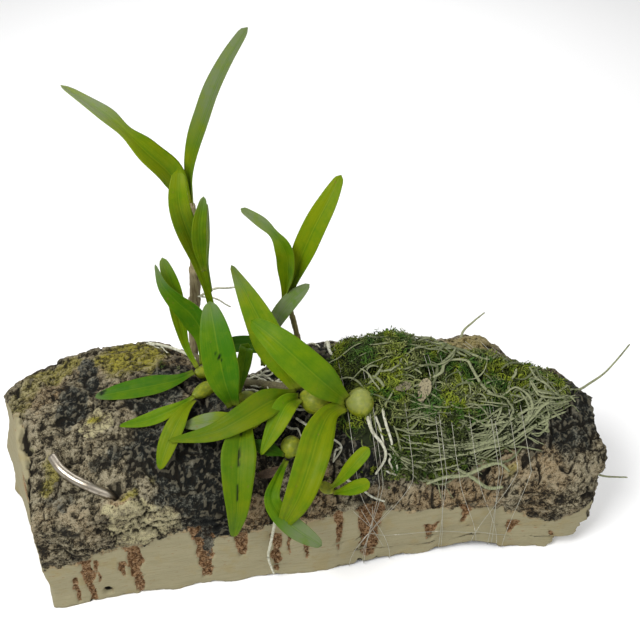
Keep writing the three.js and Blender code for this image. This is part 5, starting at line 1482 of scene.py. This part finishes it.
def mossCoreSurface():
    sectors, rings = mossLook["sectors"], mossLook["rings"]
    angle = np.linspace(0, 2 * math.pi, sectors, endpoint=False)
    edge = mossReach(angle) * (1 + 0.05 * softNoise(np.cos(angle) * 6, np.sin(angle) * 6, 2))
    cx, cy = mossShape["centre"]
    pts, density, light = [[cx, cy, overMoss(cx, cy, -mossLook["sink"])]], [1.0], [1.0]
    faces = []
    for ring in range(1, rings + 1):
        share = (ring / rings) ** 0.9 * 0.985
        x = cx + np.cos(angle) * edge * share
        y = cy + np.sin(angle) * edge * share
        ground = barkTop(x, y)
        cover = mossCover(x, y)
        fade = ease((1 - share) / 0.12) * (0.12 + 0.88 * cover)
        z = ground + np.maximum((mossTop(x, y) - ground - mossLook["sink"] + mossLumps(x, y)) * fade, -0.4)
        pts += np.stack([x, y, z], 1).tolist()
        density += (cover * (0.45 + 0.55 * ease((1 - share) / 0.06))).tolist()
        # the moss is painted darker in its hollows, painted shade, and in the places listed as shaded
        light += ((1 - 0.85 * mossHollows(x, y)) * mossLight(x, y)).tolist()
    for ring in (1.0, 0.72, 0.4):
        x = cx + np.cos(angle) * edge * ring * 0.97
        y = cy + np.sin(angle) * edge * ring * 0.97
        pts += np.stack([x, y, barkTop(x, y) - 1.6], 1).tolist()
        density += [0.0] * sectors
        light += [0.0] * sectors
    pts.append([cx, cy, overMoss(cx, cy, -12)])
    density.append(0.0)
    light.append(0.0)
    for k in range(sectors):
        k2 = (k + 1) % sectors
        faces.append((0, 1 + k, 1 + k2))
        for ring in range(rings + 2):
            near, far = 1 + ring * sectors, 1 + (ring + 1) * sectors
            faces.append((near + k, far + k, far + k2, near + k2))
        last = 1 + (rings + 2) * sectors
        faces.append((last + k2, last + k, len(pts) - 1))
    # the core itself is painted near black: painted shade deep in the pad, under the strewn bits
    return np.array(pts), faces, {"density": density, "light": light, "tint": np.full(len(pts), 0.03)}


def mossFinish():
    c = mossLook
    material, where = newFinish("livingMoss", 0.8, {"Specular IOR Level": 0.2})
    tint = mark(where, "tint")
    colour = colourRamp(tint, [(0.0, c["deep"]), (0.3, c["olive"]), (0.95, c["straw"])])
    yellowing = spread(grain(where, 9, 3, 0.5, 0.6), 0.48, 0.6)
    greening = spread(grain(where, 8, 3, 0.5, 0.9), 0.5, 0.6)
    alive = times(spread(tint, 0.02, 0.4), 0.85)
    fine = grain(where, 0.6, 4, 0.65)
    colour = layered(colour, [(times(yellowing, alive), c["yellow"]), (times(greening, alive), c["green"]),
                              (times(spread(fine, 0.5, 0.34), 0.7), c["deep"])])
    return paint(material, colour, fine, 0.3)


def curlShape(chance, length, bend, halfWidth, rise):
    # a flattened strand that winds over the pad and dives into it at both ends
    count = mossLook["curlPoints"]
    share = np.linspace(0, 1, count)
    turn = bend * (share - 0.5) + 0.9 * np.sin(share * chance.uniform(4, 8) + chance.uniform(0, 6))
    step = length / (count - 1)
    x = np.concatenate([[0], np.cumsum(np.cos(turn[:-1]) * step)])
    y = np.concatenate([[0], np.cumsum(np.sin(turn[:-1]) * step)])
    z = rise * np.sin(share * math.pi) + 0.35 * np.sin(share * chance.uniform(5, 10)) - 0.1
    middle = np.stack([x - x.mean(), y - y.mean(), z], 1)
    half = halfWidth * np.sin(0.3 + share * (math.pi - 0.6))[:, None]
    roll = chance.uniform(-0.7, 0.7) + share * chance.uniform(-1, 1)
    side = np.stack([-np.sin(turn) * np.cos(roll), np.cos(turn) * np.cos(roll), np.sin(roll)], 1)
    along = np.stack([np.cos(turn), np.sin(turn), 0 * turn], 1)
    up = np.cross(along, side) * 0.32 * half
    rows = [middle + side * half, middle + up, middle - side * half, middle - up]
    faces = tubeFaces(count, 4) + [(3, 2, 1, 0), tuple(4 * (count - 1) + k for k in range(4))]
    return np.stack(rows, 1).reshape(-1, 3), faces


def shootShape(chance):
    # an upright shoot with pointed leaves
    parts, count = [], mossLook["shootLeaves"]
    lean = chance.uniform(0.2, 0.9)
    tall = chance.uniform(1.0, 2.0)
    for i in range(count):
        t = (i + 1) / count
        stem = np.array([lean * t * t, 0.15 * math.sin(4 * t), tall * t])
        turn = i * 2.4 + chance.uniform(-0.3, 0.3)
        out = np.array([math.cos(turn), math.sin(turn), 0.3 + 0.7 * t])
        out = out / np.linalg.norm(out)
        side = np.cross(out, (0, 0, 1))
        side = side / np.linalg.norm(side)
        long = chance.uniform(0.7, 1.2)
        ridge = np.cross(side, out) * 0.1
        pts = np.array([stem, stem + out * long * 0.45 + side * 0.24, stem + out * long,
                        stem + out * long * 0.45 - side * 0.24, stem + out * long * 0.4 + ridge])
        parts.append((pts, [(0, 1, 4), (1, 2, 4), (2, 3, 4), (3, 0, 4), (0, 3, 2, 1)]))
    return join(parts)


def mossBits(chance):
    # small shapes that the pad is strewn with: thin curls, broad flat fronds and leafy shoots
    curls = [curlShape(chance, chance.uniform(3, 6), chance.uniform(-5, 5), chance.uniform(0.16, 0.26),
                       chance.uniform(0.5, 1.4)) for _ in range(8)]
    fronds = [curlShape(chance, chance.uniform(3, 7.5), chance.uniform(-4, 4), chance.uniform(0.3, 0.5),
                        chance.uniform(0.6, 1.6)) for _ in range(8)]
    shoots = [shootShape(chance) for _ in range(5)]
    return curls, fronds, shoots


def makeStrewTree():
    tree, given = newTree("strewOverSurface", [("Bits", "Collection"), ("Density", "Float"),
                                               ("Smallest", "Float"), ("Largest", "Float"), ("Lean", "Float"),
                                               ("Seed", "Int"), ("Finish", "Material")])
    perArea = times(given["Density"], 1e6)
    thinned = times(perArea, readNumber(tree, "density"))
    spots = addNode(tree, "GeometryNodeDistributePointsOnFaces",
                    {"Mesh": given["Geometry"], "Density": thinned, "Seed": given["Seed"]})
    tint = addNode(tree, "FunctionNodeRandomValue", {2: 0.05, 3: 1.0, "Seed": 3}, data_type="FLOAT").outputs[1]
    tint = times(tint, readNumber(tree, "light"))
    kept = {"Geometry": spots.outputs["Points"], "Name": "tint", "Value": tint}
    dots = step(tree, "GeometryNodeStoreNamedAttribute", kept, data_type="FLOAT", domain="POINT")
    bits = step(tree, "GeometryNodeCollectionInfo",
                {"Collection": given["Bits"], "Separate Children": True, "Reset Children": True})
    back = times(given["Lean"], -1.0)
    low = step(tree, "ShaderNodeCombineXYZ", {0: back, 1: back, 2: -3.15})
    high = step(tree, "ShaderNodeCombineXYZ", {0: given["Lean"], 1: given["Lean"], 2: 3.15})
    spin = step(tree, "FunctionNodeRandomValue", {0: low, 1: high, "Seed": 5}, data_type="FLOAT_VECTOR")
    turn = step(tree, "FunctionNodeRotateRotation", {0: spots.outputs["Rotation"], 1: spin},
                rotation_space="LOCAL")
    size = addNode(tree, "FunctionNodeRandomValue", {2: given["Smallest"], 3: given["Largest"], "Seed": 7},
                   data_type="FLOAT").outputs[1]
    strewn = step(tree, "GeometryNodeInstanceOnPoints",
                  {"Points": dots, "Instance": bits, "Pick Instance": True, "Rotation": turn, "Scale": size})
    closeTree(tree, strewn, given["Finish"])
    return tree


def strew(name, surface, bits, density, smallest, largest, lean, seed, finish):
    # the bits live in a collection of their own only while the tree runs
    shelf = bpy.data.collections.new(name + "Bits")
    for i, (pts, faces) in enumerate(bits):
        mesh = bpy.data.meshes.new(f"{name}Bit{i}")
        mesh.from_pydata((pts * mm).tolist(), [], faces)
        shelf.objects.link(bpy.data.objects.new(f"{name}Bit{i}", mesh))
    piece = bpy.data.objects.new(name, surface.data.copy())
    bpy.context.scene.collection.objects.link(piece)
    growPiece(piece, strewTree, {"Bits": shelf, "Density": density, "Smallest": smallest, "Largest": largest,
                                 "Lean": lean, "Seed": seed, "Finish": finish})
    for bit in list(shelf.objects):
        bpy.data.objects.remove(bit)
    bpy.data.collections.remove(shelf)
    return piece


mossGreen = mossFinish()
strewTree = makeStrewTree()
pts, faces, marks = mossCoreSurface()
mossCore = makePiece("mossCore", pts, faces, mossGreen, marks)
curlBits, frondBits, shootBits = mossBits(random.Random(11))
mossCurls = strew("mossCurls", mossCore, curlBits, mossLook["curls"], 0.7, 1.3, 0.5, 4, mossGreen)
mossFronds = strew("mossFronds", mossCore, frondBits, mossLook["fronds"], 0.6, 1.2, 0.55, 17, mossGreen)
mossShoots = strew("mossShoots", mossCore, shootBits, mossLook["shoots"], 0.7, 1.35, 0.7, 9, mossGreen)
finishPiece(mossCore, "moss", "moss_pad")
for piece in (mossCurls, mossFronds, mossShoots):
    finishPiece(piece, "moss")
print("moss:", len(mossCurls.data.polygons), len(mossFronds.data.polygons), len(mossShoots.data.polygons),
      "faces")


# moss tufts in the bark's dips round the bulbs, grown on a patch that isn't kept

tuftPlaces = {
    "step": 0.8, "density": 0.9,
    # x, y, half length, half depth, strength
    "patches": [(8, -14, 12, 7, 1.0), (6, 14, 10, 9, 0.9), (-8, -2, 12, 6, 0.7), (-14, -20, 9, 5, 0.6),
                (-30, 12, 5, 6, 0.5), (2, -26, 7, 3, 0.8), (-40, 16, 4, 5, 0.3), (90, -6, 4, 4, 0.5),
                (20, -24, 8, 4, 0.7), (-28, 22, 5, 4, 0.5)],
}


def tuftGround():
    x = np.arange(-48, 96, tuftPlaces["step"])
    y = np.arange(-29, 27, tuftPlaces["step"])
    gx, gy = (grid.ravel() for grid in np.meshgrid(x, y, indexing="ij"))
    share = np.zeros(gx.shape)
    for px, py, rx, ry, strength in tuftPlaces["patches"]:
        reach = np.hypot((gx - px) / rx, (gy - py) / ry) + 0.3 * layeredNoise(gx / 4, gy / 4, 57)
        share = np.maximum(share, strength * ease((1.1 - reach) / 0.6))
    share = share * ease((layeredNoise(gx / 2.4, gy / 2.4, 59) - 0.05) / 0.3)
    inside = (gy > slabLine("front", gx) + 1) & (gy < slabLine("back", gx) - 1.5)
    height = barkTop(gx, gy) + barkRelief(gx, gy)[0] - 0.1
    points = np.stack([gx, gy, height], 1)
    faces = []
    for i in range(len(x) - 1):
        for j in range(len(y) - 1):
            quad = (i * len(y) + j, (i + 1) * len(y) + j, (i + 1) * len(y) + j + 1, i * len(y) + j + 1)
            if all(share[v] > 0 and inside[v] for v in quad):
                faces.append(quad)
    return points, faces, {"density": share, "light": np.full(len(points), 0.8)}


pts, faces, marks = tuftGround()
ground = makePiece("tuftGround", pts, faces, mossGreen, marks)
mossTufts = strew("mossTufts", ground, shootBits + curlBits[:2], tuftPlaces["density"], 0.4, 0.95, 0.8, 21,
                  mossGreen)
bpy.data.objects.remove(ground)
finishPiece(mossTufts, "moss")
print("tufts on the bark:", len(mossTufts.data.polygons), "faces")


# pale flattened strands over and beside the moss

strandLook = {
    "pale": (0.215, 0.23, 0.12), "olive": (0.08, 0.095, 0.034), "dark": (0.016, 0.02, 0.008),
    "scattered": 100, "acrossFront": 46,
}
# strands that stand out in the pad: points in the plan, half width, tint
mossStrandRoutes = [
    ([(47.3, -3.4), (48.9, -1.8), (54.8, -2.2), (55.6, -4.3), (56.8, -6.8), (58.5, -9.6), (61.5, -12),
      (66.3, -12), (68.9, -12.7), (72, -13.2), (76.3, -14.5), (81.1, -15.4), (83.8, -17.5)], 0.62, 0.9),
    ([(70.4, -5.6), (69.8, -7), (67.4, -9.3), (66.4, -11.5)], 0.5, 0.8),
    ([(68.2, -13), (67, -15), (64.5, -17.1), (62.3, -18.3)], 0.55, 0.6),
    ([(69.2, -15.2), (68.1, -16.4), (64.4, -18.6), (62.7, -19.6)], 0.5, 0.7),
    ([(68.3, -17), (66.5, -18.7), (64.4, -20.6)], 0.45, 0.6),
    ([(77, -18.1), (77.4, -19.4), (75.1, -20.9), (72.6, -19.8)], 0.35, 0.6),
    ([(78.5, -14.7), (82.9, -14), (87.5, -13.1)], 0.45, 0.9),
    ([(78.7, -14.5), (83.2, -11.5), (88.6, -8.8), (91, -7)], 0.45, 0.85),
    ([(71.7, -14.7), (76.3, -14.4), (79.1, -14.8)], 0.4, 0.9),
    ([(34.8, 0.1), (38.1, 0.2), (40.7, -1.8), (43, -3)], 0.5, 0.7),
    ([(29.5, -2.7), (32, -0.9), (34.6, 0.9)], 0.4, 0.7),
    ([(48.6, -1.8), (47, -3), (45.3, -6.2), (42.4, -7.3)], 0.6, 0.8),
    ([(24, -2.7), (25.9, -5.5), (26.9, -7.4)], 0.6, 0.6),
    ([(20.7, 0.8), (22.8, -1.6), (24.1, -5.2), (25.5, -7.8)], 0.35, 0.8),
    ([(51.3, 3.7), (52.5, 0.8), (55, -1)], 0.4, 0.6),
    ([(54.3, 2.8), (56.8, -0.4), (59.5, -1.9), (62.4, -2.2)], 0.5, 0.85),
]
# the tangle along the pad's lower right side: points in the plan, half width, tint
bundleRoutes = [
    ([(27.3, -21.6), (37.5, -22.7), (45.7, -22), (55.8, -22), (63.9, -21.7), (71.2, -19.8), (79.1, -17.7),
      (85.8, -15.7)], 0.62, 0.8),
    ([(40.6, -20.4), (50.7, -20.7), (59.7, -21.2), (68.1, -19.9), (72.3, -18.3), (76.9, -15.8), (82.9, -14.1),
      (88.7, -12.5)], 0.6, 0.7),
    ([(64.7, -12.7), (69, -11.4), (72.9, -13.4), (73.6, -16.1), (71.2, -18.4), (67, -20), (61.7, -21.3),
      (52.8, -21.2)], 0.55, 0.75),
    ([(58.6, -12.2), (64.6, -13.3), (67.3, -16), (64.9, -18.6), (59.7, -20.8), (51.8, -20.7), (41.5, -20.5)],
     0.5, 0.6),
    ([(73.7, -9.6), (76.1, -13.4), (81.6, -13.5), (87.7, -11.7), (89.6, -13.3)], 0.5, 0.85),
    ([(74.5, -5.6), (75.9, -8.9), (79.7, -11.2), (84.1, -12.5), (90.1, -11.1)], 0.48, 0.8),
    ([(29.6, -19.3), (37.5, -20.4), (46.7, -20.9), (55.7, -21.1)], 0.45, 0.7),
    ([(26.5, -20.2), (30.3, -22.3), (37.5, -23.4), (44.8, -23.3), (51.9, -23)], 0.5, 0.85),
    ([(70, -12.1), (72.4, -16.3), (70.2, -18.9), (63.8, -20.9), (54.8, -21.4), (45.7, -21.2), (36.4, -21)], 0.5,
     0.65),
    ([(55.9, -18.2), (63.8, -18.7), (70.3, -16.7), (78, -15.3), (86.4, -12.6)], 0.55, 0.8),
    ([(74.7, -17.9), (77.8, -18.8), (79.1, -17.3), (75.7, -16.9)], 0.4, 0.7),
]


def strandFinish():
    c = strandLook
    material, where = newFinish("dryStrand", 0.75)
    fibres = grain(where, 0.7, 4, 0.6)
    colour = colourRamp(mark(where, "tint"), [(0.15, c["olive"]), (0.9, c["pale"])])
    colour = blendColour(times(spread(fibres, 0.52, 0.34), 0.7), colour, c["dark"])
    return paint(material, colour, fibres, 0.15)


def surfaceLine(plan, radii, lift, count, tint, waves, seed):
    # a line laid over the moss and the bark from its points in the plan
    path, _, length = smoothPath([(x, y, 0) for x, y in plan], count)
    x, y = path[:, 0], path[:, 1]
    run = np.linspace(0, length, count)
    z = np.maximum(mossTop(x, y), barkTop(x, y)) + lift + waves * softNoise(run / 3.5, seed, 1)
    z = np.convolve(np.pad(z, 2, "edge"), [0.1, 0.2, 0.4, 0.2, 0.1], "valid")
    points = np.stack([x, y, z], 1)
    return {"points": points, "radius": roundedRadius(radii, count, length), "tint": tint, "length": length}


def bentPlan(x, y, length, heading, bend, before):
    # five points of a bent strand; before is the share of its length that lies on the near side of x
    turns = [(s, heading + bend * s) for s in (0, 0.25, 0.5, 0.75, 1)]
    return [(x + math.cos(turn) * length * (s - before), y + math.sin(turn) * length * (s - 0.5))
            for s, turn in turns]


def strayed(plan, amount, chance):
    # a neighbour of a strand: part of its route, with each point moved a little
    start = chance.randrange(0, max(len(plan) - 3, 1))
    end = chance.randrange(start + 3, len(plan) + 1)
    shift = chance.uniform(-amount, amount)
    return [(x + chance.uniform(-amount, amount), y + shift + chance.uniform(-0.5, 0.5) * amount)
            for x, y in plan[start:end]]


dryStrand = strandFinish()
chance = random.Random(23)
padLines = [surfaceLine(plan, [half * 0.7, half, half * 0.8], 0.7, 40, tint, 0.4, i * 2.1)
            for i, (plan, half, tint) in enumerate(mossStrandRoutes)]
for i in range(strandLook["scattered"]):
    angle = chance.uniform(0, 2 * math.pi)
    share = math.sqrt(chance.random()) * 0.9
    reach = float(mossReach(np.array([angle]))[0])
    x, y = mossShape["centre"][0] + math.cos(angle) * reach * share, math.sin(angle) * reach * share
    heading, bend = chance.uniform(-1.1, 0.9), chance.uniform(-0.9, 0.9)
    plan = bentPlan(x, y, chance.uniform(4, 15), heading, bend, 0.5)
    half = chance.uniform(0.22, 0.58)
    padLines.append(surfaceLine(plan, [half * 0.6, half, half * 0.5], chance.uniform(0.3, 1.3), 18,
                                chance.uniform(0.1, 0.9), 0.6, i * 1.3))
# pale strands that run level over the pad's lower front
for i in range(strandLook["acrossFront"]):
    x, y = chance.uniform(30, 62), chance.uniform(-23.5, -13)
    heading, bend = chance.uniform(-0.35, 0.3), chance.uniform(-0.7, 0.7)
    plan = bentPlan(x, y, chance.uniform(8, 22), heading, bend, 0)
    half = chance.uniform(0.2, 0.46)
    padLines.append(surfaceLine(plan, [half * 0.6, half, half * 0.6], chance.uniform(0.9, 1.7), 24,
                                chance.uniform(0.45, 1.0), 0.6, i * 2.9))
padStrands = sweepPiece("padStrands", padLines, dryStrand, 8, 0.45, 0.18, 1.2)
finishPiece(padStrands, "strand")

bundleLines = []
for i, (plan, half, tint) in enumerate(bundleRoutes):
    bundleLines.append(surfaceLine(plan, [half * 0.6, half, half, half * 0.5], 1.9, 50, tint * 1.15, 0.5,
                                   i * 1.9))
    for k in range(3):
        half = chance.uniform(0.28, 0.52)
        bundleLines.append(surfaceLine(strayed(plan, 1.9, chance), [half * 0.6, half, half * 0.5],
                                       chance.uniform(0.8, 2.2), 34, chance.uniform(0.2, 1.0), 0.8,
                                       i * 3.1 + k))
# loops and bends where the strands turn back at the right end
for i in range(10):
    x, y = chance.uniform(66, 84), chance.uniform(-19, -9)
    size, turn = chance.uniform(1.6, 3.6), chance.uniform(0, 6)
    plan = [(x + math.cos(turn + a) * size * 1.5, y + math.sin(turn + a) * size * 0.7)
            for a in (0, 0.9, 1.8, 2.7, 3.6)]
    half = chance.uniform(0.25, 0.45)
    bundleLines.append(surfaceLine(plan, [half * 0.6, half, half * 0.6], chance.uniform(0.5, 1.6), 30,
                                   chance.uniform(0.3, 1.0), 0.8, 80 + i * 1.7))
finishPiece(sweepPiece("strandBundle", bundleLines, dryStrand, 8, 0.5, 0.2, 1.3), "strand", "moss_strands")

looseStrands = {
    "strand_end_upper": dict(points=[(84, -9.4, 52.6), (88, -7.4, 51.6), (94.1, -5.3, 48.6), (100, -1.1, 46.4),
                                     (107.4, 3.8, 45.4), (112.6, 6.6, 49), (116.6, 8.6, 53.4)],
                             radii=[0.5, 0.42, 0.28]),
    "root_moss_upper": dict(points=[(38, -26.4, 35.6), (44, -26, 37.4), (51, -26.2, 37.6), (58, -25.6, 40.4),
                                    (62, -25.6, 40.6), (65, -27.6, 38.4)], radii=[0.45, 0.65, 0.65, 0.45]),
    "root_moss_lower": dict(points=[(48, -24.6, 39.6), (53.4, -27, 36.4), (58, -29.2, 33.4), (63, -29.6, 33.4)],
                            radii=[0.5, 0.7, 0.5]),
    "strand_end_right": dict(points=[(93, -22, 26), (98, -21.4, 23.4), (104, -21, 20), (112, -21, 18)],
                             radii=[0.5, 0.4, 0.25]),
    "strand_top": dict(points=[(60, 21, 50), (62, 24.4, 52), (66, 27, 53.4), (71, 30, 54.6)],
                       radii=[0.5, 0.4, 0.25]),
}
for name, spec in looseStrands.items():
    piece = sweepPiece(camel(name), [smoothLine(spec["points"], spec["radii"], 50, 0.95)], dryStrand, 10, 0.8,
                       0.2, 1.1)
    finishPiece(piece, "strand", name)
print("strands:", len(padLines) + len(bundleLines))


# two dead leaves on the moss

deadLeaves = {
    "deadLeafFlat": dict(spine=[(30.4, -8.8), (32.9, -8.1), (35.4, -7.6)], width=3.0,
                         colour=(0.15, 0.13, 0.075)),
    "deadLeafSpeckled": dict(spine=[(37.8, -11.8), (39.3, -9.8), (40.6, -7.6)], width=4.2,
                             colour=(0.22, 0.19, 0.11)),
}


def deadLeafFinish(name, colour):
    material, where = newFinish(name, 0.8)
    speckles = spread(grain(where, 0.7, 4, 0.6), 0.52, 0.64)
    dark = tuple(c * 0.3 for c in colour)
    return paint(material, blendColour(speckles, colour, dark), speckles, 0.2)


for name, spec in deadLeaves.items():
    spine = [(x, y, overMoss(x, y, 1.5)) for x, y in spec["spine"]]
    pts, faces, marks, uv = leafSurface(5.0, spine, spec["width"], (-0.1, -0.5, 0.85), fold=8, base=0.4,
                                        tip=0.3)
    finishPiece(makePiece(name, pts, faces, deadLeafFinish(name + "Skin", spec["colour"])), "strand")


# tie line: taut turns of clear line round the slab and the moss

tieLook = {
    "radius": 0.085, "lift": -1.0, "colour": (0.34, 0.33, 0.26), "glint": (0.7, 0.68, 0.6),
    # where each turn lies on top and at the bottom edge, along the slab, as in the solids
    "turns": [(42, 45), (47, 57), (53, 64), (61, 61), (66, 55), (70, 66), (15, 27), (33, 13), (23, 17.5)],
    # a second line beside some of the turns
    "doubled": {0: (1.3, -0.9), 3: (-1.1, 1.2), 8: (-1.2, 0.6)},
    "joinHigh": 19, "joinLow": 10.5,
    # lines that meet in the knot on the cut face: x and height of the knot, then of each far end
    "knot": (20.2, 21.2),
    "rays": [(13.4, 33), (19.8, 34), (26.6, 32.6), (14, 9.3), (17, 8.6), (24.4, 10), (16, 33)],
}


def tautOutline(samples):
    # the outline that a taut line takes round a cross-section, as its convex hull
    ordered = sorted(samples)

    def half(chainPoints):
        chain = []
        for p in chainPoints:
            while len(chain) > 1:
                o, q = chain[-2], chain[-1]
                if (q[0] - o[0]) * (p[1] - o[1]) - (q[1] - o[1]) * (p[0] - o[0]) > 0.01:
                    break
                chain.pop()
            chain.append(p)
        return chain[:-1]

    return half(ordered) + half(ordered[::-1])


def turnX(topX, bottomX, z):
    # how far along the slab a turn is at a height
    return bottomX + (topX - bottomX) * ease((z - 2) / 46)


def tieTurn(topX, bottomX):
    samples = []
    y = np.linspace(-36, 34, 71)  # across the slab, past both its sides
    for dx in (-0.6, 0, 0.6):
        x = np.full(len(y), topX + dx)
        inside = (y > slabLine("front", x) - 0.5) & (y < slabLine("back", x) + 0.5)
        top = mossTop(x, y) + tieLook["lift"]
        samples += [(float(a), float(b)) for a, b in zip(y[inside], top[inside])]
    for z in np.arange(1.5, 44, 2.0):
        x = turnX(topX, bottomX, float(z))
        samples.append((float(slabLine("front", x)) - 1.15, float(z)))
        samples.append((float(slabLine("back", x)) + 1.3, float(z)))
    edge = float(chippedEdge(bottomX))
    samples = [(y, z) for y, z in samples if y > -20 or z > edge + 0.5]
    samples.append((float(slabLine("front", bottomX)) - 0.4, edge + 0.3))
    samples.append((float(slabLine("back", bottomX)) + 0.6, 0.5))
    outline = tautOutline(samples)
    ring = np.array(outline + outline[:1])
    run = np.concatenate([[0], np.cumsum(np.hypot(*np.diff(ring, axis=0).T))])
    even = np.linspace(0, run[-1], 121)[:-1]
    y, z = np.interp(even, run, ring[:, 0]), np.interp(even, run, ring[:, 1])
    x = turnX(topX, bottomX, z)
    return {"points": np.stack([x, y, z], 1), "radius": tieLook["radius"], "closed": True, "length": run[-1]}


def tieFinish():
    material, where = newFinish("clearLine", 0.38, {"Transmission Weight": 0.2})
    glints = spread(grain(where, 2.4, 2, 0.5), 0.62, 0.7)
    colour = blendColour(glints, tieLook["colour"], tieLook["glint"])
    return paint(material, colour, grain(where, 2.0, 2), 0.02)


def makeTieLine():
    turns = [tieTurn(topX, bottomX) for topX, bottomX in tieLook["turns"]]
    for place, (moveTop, moveBottom) in tieLook["doubled"].items():
        topX, bottomX = tieLook["turns"][place]
        turns.append(tieTurn(topX + moveTop, bottomX + moveBottom))
    joins = []
    for topX, bottomX in tieLook["turns"]:
        height = tieLook["joinHigh"] + (tieLook["joinLow"] - tieLook["joinHigh"]) * (bottomX - 13) / 46
        x = float(turnX(topX, bottomX, height))
        joins.append((x, float(slabLine("front", x)) - 1.3, height))
    joins.sort()
    turns.append(smoothLine(joins, [tieLook["radius"]] * 2, 90))
    for end in tieLook["rays"]:
        ray = [(x, float(slabLine("front", x)) - 1.25, z)
               for x, z in (np.array(tieLook["knot"]) * (1 - t) + np.array(end) * t for t in (0, 0.5, 1))]
        turns.append(smoothLine(ray, [tieLook["radius"] * 0.9] * 2, 12))
    print("tie line, millimetres:", round(sum(turn["length"] for turn in turns)))
    finishPiece(sweepPiece("tieLine", turns, tieFinish(), 7), "line", "tie_line")


makeTieLine()
